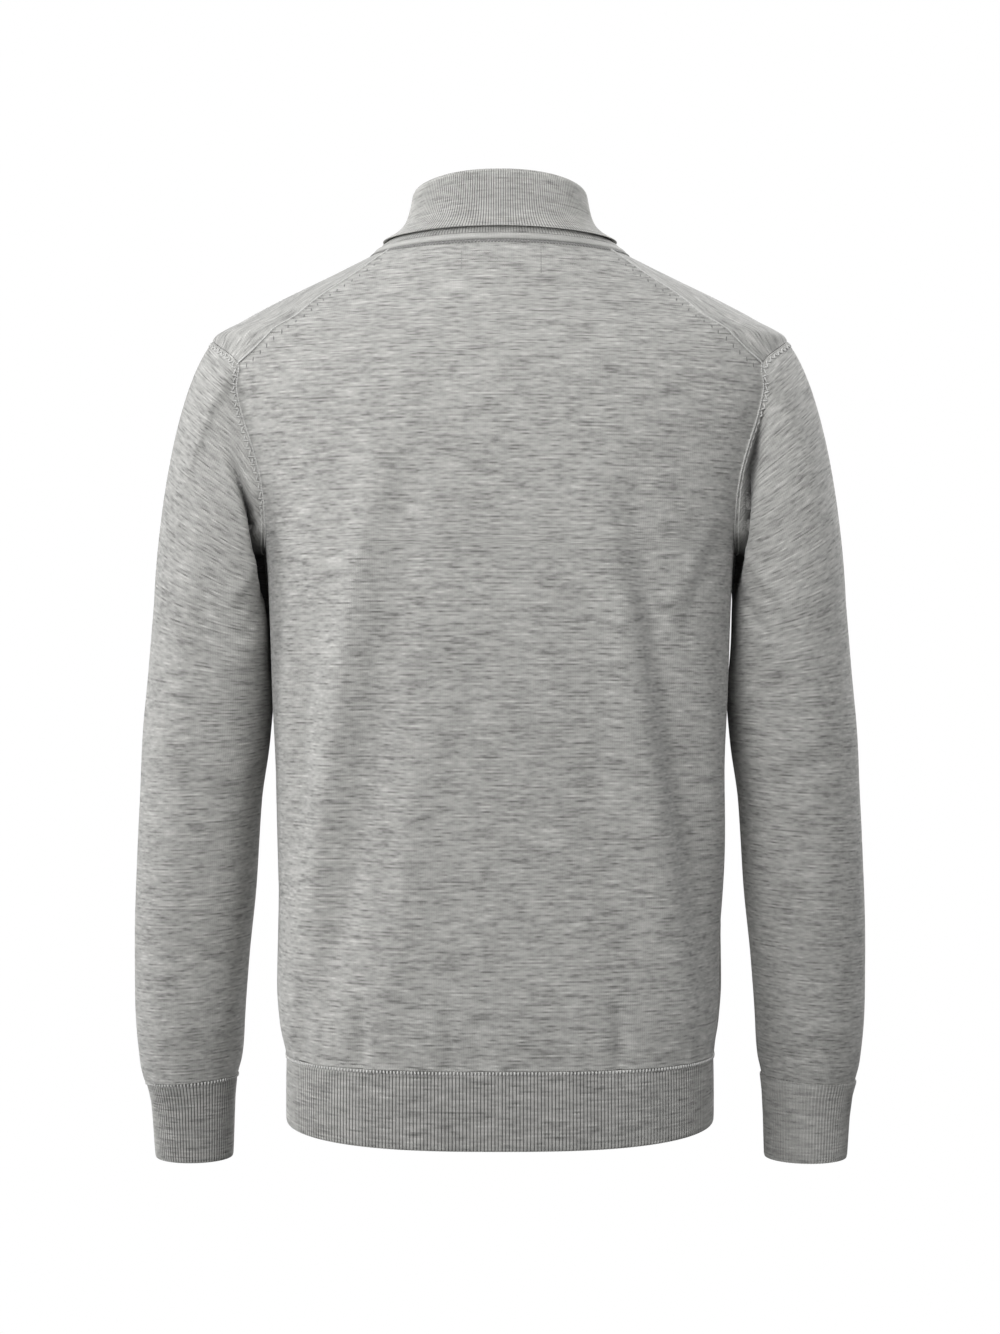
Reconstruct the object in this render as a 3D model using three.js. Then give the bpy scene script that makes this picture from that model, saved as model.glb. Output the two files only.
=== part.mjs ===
import * as THREE from "three";

// A turtleneck sweater in fine jersey, in the hollow form that it has when it is worn.
// Millimetres, +Z up. The front faces -Y and the wearer's left is +X.
// The origin lies midway between the high points of the shoulders.

const JERSEY_WALL = 1.6;
const RIB_WALL = 2.4; // from the crest of a rib to the plain inside
const RIB_DEPTH = 0.8; // from the crest of a rib to the furrow beside it
const SEAM_GAP = 0.3;
const HEM_RIBS = 356;
const CUFF_RIBS = 86;
const COLLAR_RIBS = 236;
const SMOOTH_POINTS = 40; // round the plain inside of the hem rib, the collar and the neck band
const CUFF_SMOOTH_POINTS = 24;

const BODY_BOTTOM = -629; // where the jersey is linked to the hem rib
const SLEEVE_BOTTOM = -657; // where the sleeve is linked to its cuff

const { degToRad, lerp, clamp } = THREE.MathUtils;

// Rows of numbers under named columns
function table(columns, rows) {
  const names = columns.split(" ");
  return rows.map((row) => Object.fromEntries(names.map((name, i) => [name, row[i]])));
}

// Level sections of the body: half width, depth behind and before the side seams,
// and the power of the rounded outline, where 2 is an ellipse
const BODY = table("z half back front power", [
  [0, 91, 64, 62, 2],
  [-7.5, 99.5, 67, 66, 1.9],
  [-12, 108.3, 70, 69, 1.85],
  [-27.5, 140.2, 78, 77, 1.75],
  [-43, 172.4, 86, 84, 1.72],
  [-58.8, 201.6, 94, 90, 1.78],
  [-74.3, 225, 101, 95, 1.88],
  [-100, 223, 111, 102, 1.96],
  [-130, 216, 118, 108, 2.02],
  [-170, 204, 123, 115, 2.08],
  [-210, 191, 126, 120, 2.2],
  [-240, 183, 127.5, 122, 2.3],
  [-277, 180.6, 128, 123, 2.35],
  [-356, 177.6, 126, 120, 2.4],
  [-418, 174.3, 122, 115, 2.45],
  [-505, 172.7, 119.5, 111, 2.5],
  [-575, 173.6, 120, 112, 2.55],
  [-604, 171.4, 119.5, 112, 2.6],
  [BODY_BOTTOM, 166.6, 117, 111, 2.7],
]);

// The main folds of the body: a ridge where height is above 0 and a trough where it is below.
// face is 1 on the back and -1 on the front, and width is across the fold.
const BODY_FOLDS = table("face topX topZ bottomX bottomZ width height", [
  [1, 132, -215, 126, -380, 17, 3],
  [1, 104, -250, 108, -400, 15, -2],
  [1, 118, -430, 122, -600, 22, 3],
  [1, 150, -480, 146, -612, 11, -3],
  [1, -92, -235, -112, -380, 14, -3],
  [1, -128, -230, -138, -330, 13, 2],
  [1, -132, -430, -143, -560, 13, -3],
  [1, -152, -440, -156, -600, 10, 2],
  [-1, 120, -220, 104, -400, 17, 3],
  [-1, 92, -440, 100, -600, 18, -3],
  [-1, 138, -450, 134, -600, 14, 2],
  [-1, -124, -225, -110, -380, 16, 3],
  [-1, -96, -430, -88, -590, 18, -3],
  [-1, -140, -430, -144, -605, 13, 2],
]);

// The armhole, from the tip of the shoulder down the back, under the arm and up the front.
// turn is the angle round the sleeve that each point leads to, in degrees.
const ARMHOLE = table("x z face turn", [
  [225, -74.3, 1, 0],
  [214, -84, 1, 22],
  [201, -97, 1, 44],
  [202, -117, 1, 60],
  [197.5, -137, 1, 75],
  [190, -160, 1, 92],
  [183.5, -184, 1, 112],
  [180.5, -209, 1, 135],
  [180.5, -228, 1, 158],
  [183, -240, 1, 180],
  [180, -228, -1, 202],
  [179.5, -209, -1, 225],
  [181, -184, -1, 248],
  [184.5, -160, -1, 268],
  [190, -136, -1, 286],
  [197, -114, -1, 304],
  [205, -97, -1, 322],
  [214, -84, -1, 341],
]);
const JUNCTION_ROW = 2; // where the shoulder seam on the back meets the armhole
const UNDERARM_ROW = 9;

// The seam on the back where the front panel, brought over the shoulder, meets the back panel
const SHOULDER_SEAM = table("x z", [
  [85.5, -7.2],
  [110, -26],
  [137, -45],
  [164, -67],
  [187, -86],
  [201, -97],
]);

// How the sleeve sets off from the armhole at each turn: its direction, of length 1 or near it
const SLEEVE_START = table("turn x y z", [
  [0, 0.62, 0, -0.78],
  [45, 0.74, 0.08, -0.66],
  [75, 0.7, 0.22, -0.68],
  [92, 0.64, 0.3, -0.7],
  [112, 0.5, 0.33, -0.8],
  [135, 0.36, 0.3, -0.88],
  [158, 0.2, 0.15, -0.96],
  [180, 0.12, 0, -0.99],
]);
const SET_OFF_SHARE = 0.72; // the pull of that direction, as a share of the line's length
const HEAD_STEPS = [0, 0.12, 0.3, 0.52, 0.76, 1];

// How each line of the sleeve head arrives at the first level section
const ARRIVAL = { x: 0.04, y: -0.05, z: -1, share: 0.7 };
const UNDERARM_GAPS = 1.2; // the seam gaps that the sleeve stands off where the walls lie face to face

// Level sections of the left sleeve under the armhole: centre, half width and half depth
const SLEEVE = table("z x y half depth", [
  [-277, 227.2, -4, 44, 61],
  [-330, 229, -8, 47.2, 58],
  [-388, 232.2, -14, 50, 55],
  [-436, 237, -20, 48.1, 52],
  [-500, 241.6, -30, 47.8, 49.5],
  [-565, 246.7, -42, 45.5, 47],
  [-620, 249, -52, 43.2, 45.5],
  [-645, 249, -56.5, 41, 43],
  [SLEEVE_BOTTOM, 248.8, -58, 37.6, 39.5],
]);
const CUFF = table("z x y half depth", [
  [SLEEVE_BOTTOM, 248.8, -58, 36.8, 38.5],
  [-680, 248, -61, 33.6, 34.5],
  [-726, 247.6, -66, 31.3, 33],
]);
const CUFF_TILT = 3.5; // the outer edge of the cuff's top lies this much lower than its middle

const HEM = table("z half back front power", [
  [BODY_BOTTOM, 166.2, 117.4, 111.4, 2.7],
  [-681, 166.5, 119, 113, 2.7],
]);
const HEM_DIP = { depth: 7, power: 1.5 }; // the hem hangs lower at the middle of the back and front

// Height of the line where the collar is linked to the body, and of the collar's top,
// at the middle of the back, at the sides and at the middle of the front
const NECK_LINE = { back: -5, side: -7.3, front: -34, power: 2.2 };
const COLLAR_TOP = { back: 50.4, side: 41.5, front: 32, power: 1.4 };
const COLLAR_EDGE = { back: 4.4, side: 8, front: -20, power: 1.6 };
const NECK_TOP = { half: 64.5, back: 57, front: 62, power: 2.2 }; // the outside of the stand

// How far the stand has moved in from the linking line at each part of its height
const NECK_PROFILE = table("rise inward", [
  [0, 0],
  [0.16, 0.22],
  [0.25, 0.46],
  [0.34, 0.66],
  [0.48, 0.83],
  [0.66, 0.92],
  [0.88, 0.98],
  [1, 1],
]);
const BAND_TOP = 0.145; // the neck band's part of the height
const BAND = table("rise off", [
  // the section of the neck band, as how far it stands off the line of the stand
  [0.006, 0.6],
  [0.06, 1.5],
  [BAND_TOP, 0.5],
  [BAND_TOP, -1.4],
  [0.006, -1.4],
]);
const STAND_RISES = [0.152, 0.27, 0.4, 0.6, 0.9];
const FALL = table("drop off", [
  // drop runs from the roll at the top to the free edge, off is how far it stands off the stand
  [0, 3.8],
  [0.7, 4.2],
  [1, 6],
]);
const FALL_TOP_RISE = 0.9;
const ROLL = { outerRise: 0.975, topOff: 1, innerRise: 0.94, innerOff: 0.6 }; // over the collar's top

// A smooth value in a table's column, where the key column is at a given value
function along(rows, key, value, column) {
  const last = rows.length - 1;
  const way = Math.sign(rows[last][key] - rows[0][key]);
  let i = 0;
  while (i < last - 1 && way * (value - rows[i + 1][key]) > 0) i++;
  const slope = (k) => (rows[k + 1][column] - rows[k][column]) / (rows[k + 1][key] - rows[k][key]);
  const tangent = (k) => {
    if (k === 0) return slope(0);
    if (k === last) return slope(last - 1);
    const before = slope(k - 1);
    const after = slope(k);
    return before * after <= 0 ? 0 : (2 * before * after) / (before + after);
  };
  const span = rows[i + 1][key] - rows[i][key];
  const t = clamp((value - rows[i][key]) / span, 0, 1);
  const start = rows[i][column] * (1 + 2 * t) * (1 - t) ** 2;
  const end = rows[i + 1][column] * t * t * (3 - 2 * t);
  return start + end + span * (tangent(i) * t * (1 - t) ** 2 - tangent(i + 1) * t * t * (1 - t));
}

// The settings at which a curve is split into equal lengths
function evenSteps(pointAt, from, to, count) {
  const fine = 360;
  const lengths = [0];
  let last = pointAt(from);
  for (let i = 1; i <= fine; i++) {
    const next = pointAt(lerp(from, to, i / fine));
    lengths.push(lengths[i - 1] + next.distanceTo(last));
    last = next;
  }
  const steps = [];
  let i = 0;
  for (let k = 0; k <= count; k++) {
    const wanted = (lengths[fine] * k) / count;
    while (i < fine - 1 && lengths[i + 1] < wanted) i++;
    const part = (wanted - lengths[i]) / (lengths[i + 1] - lengths[i]);
    steps.push(lerp(from, to, (i + part) / fine));
  }
  return steps;
}

// The body's section at a height
function bodySection(z) {
  const section = { z };
  for (const name of ["half", "back", "front", "power"]) section[name] = along(BODY, "z", z, name);
  return section;
}

// A point of a rounded outline, at an angle from +X towards the back
function outlinePoint(angle, section) {
  const power = 2 / section.power;
  const cos = Math.cos(angle);
  const sin = Math.sin(angle);
  const depth = sin > 0 ? section.back : section.front;
  const x = section.half * Math.sign(cos) * Math.abs(cos) ** power;
  const y = depth * Math.sign(sin) * Math.abs(sin) ** power;
  return new THREE.Vector3(x, y, section.z);
}

// How far out a point lies, where 1 is on the outline
function reach(x, y, section) {
  const depth = y > 0 ? section.back : section.front;
  return Math.abs(x / section.half) ** section.power + Math.abs(y / depth) ** section.power;
}

function bodyNormal({ x, y, z }) {
  const step = 0.5;
  const at = (dx, dy, dz) => reach(x + dx, y + dy, bodySection(z + dz));
  return new THREE.Vector3(
    at(step, 0, 0) - at(-step, 0, 0),
    at(0, step, 0) - at(0, -step, 0),
    at(0, 0, step) - at(0, 0, -step),
  ).normalize();
}

// The height of all folds at a point of the body
function foldHeight({ x, y, z }) {
  let height = 0;
  for (const fold of BODY_FOLDS) {
    if (Math.sign(y) !== fold.face) continue;
    const length = fold.topZ - fold.bottomZ;
    const part = (fold.topZ - z) / length;
    if (part <= 0 || part >= 1) continue;
    const across = (x - lerp(fold.topX, fold.bottomX, part)) / fold.width;
    height += fold.height * Math.sin(Math.PI * part) * Math.exp(-across * across);
  }
  return height;
}

// A point of the cloth with the way out of it
function bodyCloth(angle, z) {
  const smooth = outlinePoint(angle, bodySection(z));
  const normal = bodyNormal(smooth);
  return { point: smooth.clone().addScaledVector(normal, foldHeight(smooth)), normal };
}

// The angle at which the body has a given x
function bodyAngle(x, z) {
  const section = bodySection(z);
  return Math.acos(Math.min(1, x / section.half) ** (section.power / 2));
}

function levelAt(angle, levels) {
  const sin = Math.sin(angle);
  const end = sin > 0 ? levels.back : levels.front;
  return levels.side + (end - levels.side) * Math.abs(sin) ** levels.power;
}

// Places on the body are kept as an angle and a height, which this brings to one scale
const ANGLE_SCALE = 100;
const armholePlaces = ARMHOLE.map(
  ({ x, z, face }) => new THREE.Vector3(face * bodyAngle(x, z) * ANGLE_SCALE, z, 0),
);
const armholeCurve = new THREE.CatmullRomCurve3(armholePlaces, true, "centripetal");
function armholeAt(row) {
  const place = armholeCurve.getPoint((row / ARMHOLE.length) % 1);
  return { angle: place.x / ANGLE_SCALE, z: place.y };
}

function turnAt(row) {
  const low = Math.floor(row);
  const next = low + 1 < ARMHOLE.length ? ARMHOLE[low + 1].turn : 360;
  return degToRad(lerp(ARMHOLE[low].turn, next, row - low));
}

const seamPlaces = SHOULDER_SEAM.map(({ x, z }) => new THREE.Vector3(bodyAngle(x, z) * ANGLE_SCALE, z, 0));
seamPlaces.at(-1).copy(armholePlaces[JUNCTION_ROW]);
const seamCurve = new THREE.CatmullRomCurve3(seamPlaces, false, "centripetal");
const neckCorner = seamPlaces[0].x / ANGLE_SCALE;

// A place on the shoulder seam, 0 at the neck and 1 at the armhole
function seamAt(part) {
  const place = seamCurve.getPointAt(clamp(part, 0, 1));
  return { angle: place.x / ANGLE_SCALE, z: place.y };
}

// Rows that the two panels and the sleeve share along the armhole
function rowsBetween(from, to, count) {
  return Array.from({ length: count + 1 }, (_, i) => lerp(from, to, i / count));
}
const BACK_ROWS = rowsBetween(JUNCTION_ROW, UNDERARM_ROW, 8);
const FRONT_ROWS = rowsBetween(UNDERARM_ROW, ARMHOLE.length + JUNCTION_ROW, 15);
const UNDERARM_Z = ARMHOLE[UNDERARM_ROW].z;
const LOWER_LEVELS = [BODY_BOTTOM, -617, -600, -560, -515, -470, -425, -380, -335, -290, -264];

const BACK_COLUMNS = 20;
const FRONT_COLUMNS = 11; // from the middle of the front to one side
const SEAM_ROWS = FRONT_COLUMNS;
const FRONT_CENTRE = -Math.PI / 2;

function placePoint({ angle, z }) {
  return outlinePoint(angle, bodySection(z));
}

// One row of cloth points, evenly spaced along a path of places
function clothRow(placeAt, count) {
  return evenSteps((part) => placePoint(placeAt(part)), 0, 1, count).map((part) => {
    const { angle, z } = placeAt(part);
    return bodyCloth(angle, z);
  });
}

// A row of the back panel, level but for its sag, between two angles alike on the left and right
function backRow(endAngle, z, sag = () => 0) {
  const placeAt = (part) => {
    const angle = lerp(endAngle, Math.PI - endAngle, part);
    return { angle, z: z + sag(angle) };
  };
  return clothRow(placeAt, BACK_COLUMNS);
}

// Rows of the back panel, from the hem line up to the neck
function backRows() {
  const rows = LOWER_LEVELS.map((z) => backRow(0, z));
  for (const row of [...BACK_ROWS].reverse()) {
    const { angle, z } = armholeAt(row);
    rows.push(backRow(Math.abs(angle), z));
  }
  const seamParts = evenSteps((part) => placePoint(seamAt(part)), 0, 1, SEAM_ROWS);
  for (let i = 1; i <= SEAM_ROWS; i++) {
    const { angle, z } = seamAt(seamParts[SEAM_ROWS - i]);
    const neckShare = (i / SEAM_ROWS) ** 3;
    const sag = (at) => neckShare * (levelAt(at, NECK_LINE) - levelAt(neckCorner, NECK_LINE));
    rows.push(backRow(angle, z, sag));
  }
  return rows;
}

// The path that the front panel's inner edge takes: up the middle of the front, then round the neck
const NECK_START = 1 / 3; // the share of the rows that end on the middle line
function frontInner(part) {
  if (part <= NECK_START) {
    return { angle: FRONT_CENTRE, z: lerp(UNDERARM_Z, NECK_LINE.front, part / NECK_START) };
  }
  const angle = lerp(FRONT_CENTRE, neckCorner, (part - NECK_START) / (1 - NECK_START));
  return { angle, z: levelAt(angle, NECK_LINE) };
}

// Rows of the front panel's left half, from the hem line over the shoulder to the seam on the back
function frontRows() {
  const rows = LOWER_LEVELS.map((z) =>
    clothRow((part) => ({ angle: lerp(FRONT_CENTRE, 0, part), z }), FRONT_COLUMNS),
  );
  const first = seamAt(0);
  const last = seamAt(1);
  FRONT_ROWS.forEach((row, i) => {
    const up = i / (FRONT_ROWS.length - 1);
    const inner = frontInner(up);
    const outer = armholeAt(row);
    const seamShare = up ** 4; // how much the row bows as the shoulder seam does
    const placeAt = (part) => {
      const onSeam = seamAt(part);
      const bowAngle = onSeam.angle - lerp(first.angle, last.angle, part);
      const bowZ = onSeam.z - lerp(first.z, last.z, part);
      return {
        angle: lerp(inner.angle, outer.angle, part) + seamShare * bowAngle,
        z: lerp(inner.z, outer.z, part) + seamShare * bowZ,
      };
    };
    rows.push(clothRow(placeAt, FRONT_COLUMNS));
  });
  return rows;
}

// Moves one edge of a panel in by half the seam's gap
function pullBack(edge, inside) {
  edge.forEach((cell, i) => {
    const way = inside[i].point.clone().sub(cell.point).normalize();
    cell.point.addScaledVector(way, SEAM_GAP / 2);
  });
}

function column(rows, index) {
  return rows.map((row) => row.at(index));
}

const mirrored = (v) => new THREE.Vector3(-v.x, v.y, v.z);

// A body of points and triangles, turned so that its faces point out
class Body {
  constructor() {
    this.points = [];
    this.triangles = [];
    this.places = new Map();
  }

  // The number of a point, the same for points in one place
  add(point) {
    const key = [point.x, point.y, point.z].map((value) => Math.round(value * 1e3)).join();
    if (!this.places.has(key)) {
      this.places.set(key, this.points.length);
      this.points.push(point);
    }
    return this.places.get(key);
  }

  triangle(a, b, c) {
    if (a !== b && b !== c && c !== a) this.triangles.push([a, b, c]);
  }

  // Split along its shorter diagonal, or, where the way out is given, along the one that bulges out
  quad(a, b, c, d, wayOut) {
    const [pa, pb, pc, pd] = [a, b, c, d].map((index) => this.points[index]);
    const bulge = wayOut ? pa.clone().add(pc).sub(pb).sub(pd).dot(wayOut) : 0;
    if (bulge > 0 || (bulge === 0 && pa.distanceTo(pc) <= pb.distanceTo(pd))) {
      this.triangle(a, b, c);
      this.triangle(a, c, d);
    } else {
      this.triangle(a, b, d);
      this.triangle(b, c, d);
    }
  }

  volume() {
    let sum = 0;
    for (const [a, b, c] of this.triangles) {
      sum += this.points[a].dot(new THREE.Vector3().crossVectors(this.points[b], this.points[c]));
    }
    return sum / 6;
  }

  mesh(name, colour) {
    const turned = this.volume() < 0;
    const order = this.triangles.flatMap(([a, b, c]) => (turned ? [a, c, b] : [a, b, c]));
    const geometry = new THREE.BufferGeometry().setFromPoints(this.points).setIndex(order);
    const flat = geometry.toNonIndexed();
    flat.computeVertexNormals();
    const material = new THREE.MeshStandardMaterial({ color: colour, roughness: 0.9, metalness: 0 });
    const made = new THREE.Mesh(flat, material);
    made.name = name;
    return made;
  }
}

// Sheets of cloth cells, each with its point and the way out of it, given a wall and closed
function clothBody(sheets, wall) {
  const body = new Body();
  const insideOf = new Map();
  const number = ({ point, normal }) => {
    const index = body.add(point);
    if (!insideOf.has(index)) insideOf.set(index, point.clone().addScaledVector(normal, -wall));
    return index;
  };
  for (const rows of sheets) {
    for (let r = 0; r + 1 < rows.length; r++) {
      for (let c = 0; c + 1 < rows[r].length; c++) {
        const cells = [rows[r][c], rows[r][c + 1], rows[r + 1][c + 1], rows[r + 1][c]];
        body.quad(...cells.map(number), cells[0].normal);
      }
    }
  }
  const outer = [...body.triangles];
  const inner = new Map([...insideOf].map(([index, point]) => [index, body.add(point)]));
  const edges = new Set();
  for (const [a, b, c] of outer) {
    for (const edge of [[a, b], [b, c], [c, a]]) edges.add(edge.join());
    body.triangle(inner.get(a), inner.get(c), inner.get(b));
  }
  for (const edge of edges) {
    const [a, b] = edge.split(",").map(Number);
    if (!edges.has([b, a].join())) body.quad(b, a, inner.get(a), inner.get(b));
  }
  return body;
}

// A closed wall through rings that follow each other round its section.
// Rings may have different numbers of points, all spread evenly round.
function ringBody(rings) {
  const body = new Body();
  const numbers = rings.map((ring) => ring.map((point) => body.add(point)));
  numbers.forEach((ring, k) => {
    const next = numbers[(k + 1) % numbers.length];
    let i = 0;
    let j = 0;
    while (i < ring.length || j < next.length) {
      const a = ring[i % ring.length];
      const b = next[j % next.length];
      const stepRing = (i + 1) / ring.length <= (j + 1) / next.length + 1e-9 && i < ring.length;
      const stepNext = (j + 1) / next.length <= (i + 1) / ring.length + 1e-9 && j < next.length;
      if (stepRing && stepNext) {
        body.quad(a, ring[(i + 1) % ring.length], next[(j + 1) % next.length], b);
        i++;
        j++;
      } else if (stepRing) {
        body.triangle(a, ring[(i + 1) % ring.length], b);
        i++;
      } else {
        body.triangle(a, next[(j + 1) % next.length], b);
        j++;
      }
    }
  });
  return body;
}

// Angles spread evenly by length round a closed outline
function evenAngles(pointAt, count) {
  return evenSteps(pointAt, 0, 2 * Math.PI, count).slice(0, -1);
}

// The level way out of a closed outline
function levelNormal(pointAt, angle) {
  const step = 0.01;
  const tangent = pointAt(angle + step).sub(pointAt(angle - step));
  return new THREE.Vector3(tangent.y, -tangent.x, 0).normalize();
}

function offRing(pointAt, angles, distanceAt) {
  return angles.map((angle, i) => {
    return pointAt(angle).addScaledVector(levelNormal(pointAt, angle), distanceAt(i));
  });
}

const ribRelief = (i) => (i % 2 ? -RIB_DEPTH : 0);

// A tapering rib band: ribbed points outside, plain ones inside
function ribBand(outlines, ribs, insideCount) {
  const fine = evenAngles(outlines[0], ribs * 2);
  const coarse = evenAngles(outlines[0], insideCount);
  const outside = outlines.map((pointAt) => offRing(pointAt, fine, ribRelief));
  const inside = outlines.map((pointAt) => offRing(pointAt, coarse, () => -RIB_WALL));
  return ringBody([...outside, ...inside.reverse()]);
}

function hemOutlines() {
  const [top, bottom] = HEM;
  const topAt = (angle) => outlinePoint(angle, { ...top, z: top.z - SEAM_GAP / 2 });
  const bottomAt = (angle) => {
    const point = outlinePoint(angle, bottom);
    point.z -= HEM_DIP.depth * Math.abs(Math.sin(angle)) ** HEM_DIP.power;
    return point;
  };
  return [topAt, bottomAt];
}

function cuffOutlines() {
  return CUFF.map(({ z, x, y, half, depth }, i) => (angle) => {
    const tilt = i === 0 ? CUFF_TILT * Math.cos(angle) + SEAM_GAP / 2 : 0;
    return new THREE.Vector3(x + half * Math.cos(angle), y + depth * Math.sin(angle), z - tilt);
  });
}

// The outside of the collar's stand, from 0 at the linking line to 1 at the collar's top
function neckPoint(angle, rise) {
  const foot = outlinePoint(angle, bodySection(levelAt(angle, NECK_LINE)));
  const top = outlinePoint(angle, { ...NECK_TOP, z: levelAt(angle, COLLAR_TOP) });
  const inward = along(NECK_PROFILE, "rise", rise, "inward");
  const z = lerp(foot.z, top.z, rise);
  return new THREE.Vector3(lerp(foot.x, top.x, inward), lerp(foot.y, top.y, inward), z);
}

// The part of the neck's height that the collar's free edge has at an angle
function edgeRise(angle) {
  const foot = levelAt(angle, NECK_LINE);
  return (levelAt(angle, COLLAR_EDGE) - foot) / (levelAt(angle, COLLAR_TOP) - foot);
}

function collarBody() {
  const standAt = (rise) => (angle) => neckPoint(angle, rise);
  const fallAt = (drop) => (angle) => neckPoint(angle, lerp(FALL_TOP_RISE, edgeRise(angle), drop));
  const fine = evenAngles(fallAt(0.5), COLLAR_RIBS * 2);
  const coarse = evenAngles(fallAt(0.5), SMOOTH_POINTS);
  const rings = [];
  for (const { drop, off } of [...FALL].reverse()) {
    rings.push(offRing(fallAt(drop), fine, (i) => off + ribRelief(i)));
  }
  const roll = evenAngles(fallAt(0.5), COLLAR_RIBS / 2);
  rings.push(offRing(standAt(ROLL.outerRise), roll, () => FALL[0].off - RIB_DEPTH));
  rings.push(offRing(standAt(1), coarse, () => ROLL.topOff));
  for (const rise of [...STAND_RISES].reverse()) {
    rings.push(offRing(standAt(rise), coarse, () => -JERSEY_WALL));
  }
  for (const rise of STAND_RISES) rings.push(offRing(standAt(rise), coarse, () => 0));
  rings.push(offRing(standAt(ROLL.innerRise), coarse, () => ROLL.innerOff));
  for (const { drop, off } of FALL) rings.push(offRing(fallAt(drop), coarse, () => off - RIB_WALL));
  return ringBody(rings);
}

// The smooth band that covers the linking line
function neckBandBody() {
  const coarse = evenAngles((angle) => neckPoint(angle, 0), SMOOTH_POINTS);
  const bandAt = (rise) => (angle) => neckPoint(angle, rise);
  return ringBody(BAND.map(({ rise, off }) => offRing(bandAt(rise), coarse, () => off)));
}

function sleeveStart(turn) {
  const degrees = THREE.MathUtils.radToDeg(turn);
  const behind = degrees <= 180;
  const folded = behind ? degrees : 360 - degrees;
  const [x, y, z] = ["x", "y", "z"].map((axis) => along(SLEEVE_START, "turn", folded, axis));
  return new THREE.Vector3(x, behind ? y : -y, z).normalize();
}

function sleeveRing(turn, { z, x, y, half, depth }) {
  return new THREE.Vector3(x + half * Math.cos(turn), y + depth * Math.sin(turn), z);
}

// One line of the left sleeve, from the armhole to the cuff
function sleeveLine(row) {
  const turn = turnAt(row % ARMHOLE.length);
  const { angle, z } = armholeAt(row);
  const { point, normal } = bodyCloth(angle, z);
  const start = sleeveStart(turn);
  // 0 at the shoulder and 1 under the arm, where the walls lie face to face
  const facing = (1 - Math.cos(turn)) / 2;
  const first = point
    .clone()
    .addScaledVector(start, SEAM_GAP / 2)
    .addScaledVector(normal, SEAM_GAP * facing * UNDERARM_GAPS);
  const ring = sleeveRing(turn, SLEEVE[0]);
  const length = ring.distanceTo(first);
  const end = new THREE.Vector3(ARRIVAL.x, ARRIVAL.y, ARRIVAL.z).multiplyScalar(length * ARRIVAL.share);
  start.multiplyScalar(length * SET_OFF_SHARE);
  const line = HEAD_STEPS.map((t) =>
    new THREE.Vector3()
      .addScaledVector(first, (1 + 2 * t) * (1 - t) ** 2)
      .addScaledVector(start, t * (1 - t) ** 2)
      .addScaledVector(ring, t * t * (3 - 2 * t))
      .addScaledVector(end, -t * t * (1 - t)),
  );
  for (const section of SLEEVE.slice(1)) line.push(sleeveRing(turn, section));
  line.at(-1).z += SEAM_GAP / 2 - CUFF_TILT * Math.cos(turn);
  return line;
}

function sleeveRows() {
  const armholeRows = [...BACK_ROWS.slice(0, -1), ...FRONT_ROWS];
  const lines = armholeRows.map(sleeveLine);
  const cellAt = (line, r) => ({ point: line[r], normal: new THREE.Vector3() });
  const rows = lines[0].map((_, r) => lines.map((line) => cellAt(line, r)));
  rows.forEach((row, r) => {
    const last = row.length - 1;
    row.forEach((cell, c) => {
      const before = row[c === 0 ? last - 1 : c - 1].point;
      const after = row[c === last ? 1 : c + 1].point;
      const above = rows[Math.max(r - 1, 0)][c].point;
      const below = rows[Math.min(r + 1, rows.length - 1)][c].point;
      const round = after.clone().sub(before);
      const down = below.clone().sub(above);
      cell.normal.crossVectors(down, round).normalize();
    });
  });
  return rows;
}

// The same points on the wearer's right
function mirrorBody(body) {
  const other = new Body();
  other.points = body.points.map(mirrored);
  other.triangles = body.triangles;
  return other;
}

const back = backRows();
pullBack(back[0], back[1]);
pullBack(back.at(-1), back.at(-2));
pullBack(column(back, 0), column(back, 1));
pullBack(column(back, -1), column(back, -2));

const frontLeft = frontRows();
pullBack(frontLeft[0], frontLeft[1]);
pullBack(frontLeft.at(-1), frontLeft.at(-2));
pullBack(column(frontLeft, -1), column(frontLeft, -2));
const neckEdge = frontLeft.filter((row) => Math.abs(row[0].point.x) > 1e-6);
pullBack(column(neckEdge, 0), column(neckEdge, 1));
const frontRight = frontLeft.map((row) =>
  row.map(({ point, normal }) => ({ point: mirrored(point), normal: mirrored(normal) })).reverse(),
);

const sleeve = clothBody([sleeveRows()], JERSEY_WALL);
const cuff = ribBand(cuffOutlines(), CUFF_RIBS, CUFF_SMOOTH_POINTS);

const JERSEY_GREY = 0xa8a7a6;
const RIB_GREY = 0x9b9a99;
const COLLAR_GREY = 0xb0afae;
const sweater = new THREE.Group();
sweater.name = "turtleneck_sweater";
sweater.add(
  clothBody([back], JERSEY_WALL).mesh("back", JERSEY_GREY),
  clothBody([frontLeft, frontRight], JERSEY_WALL).mesh("front", JERSEY_GREY),
  sleeve.mesh("sleeve_left", JERSEY_GREY),
  mirrorBody(sleeve).mesh("sleeve_right", JERSEY_GREY),
  cuff.mesh("cuff_left", RIB_GREY),
  mirrorBody(cuff).mesh("cuff_right", RIB_GREY),
  ribBand(hemOutlines(), HEM_RIBS, SMOOTH_POINTS).mesh("hem_rib", RIB_GREY),
  collarBody().mesh("collar", COLLAR_GREY),
  neckBandBody().mesh("neck_band", COLLAR_GREY),
);

export default sweater;
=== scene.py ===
import math

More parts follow.
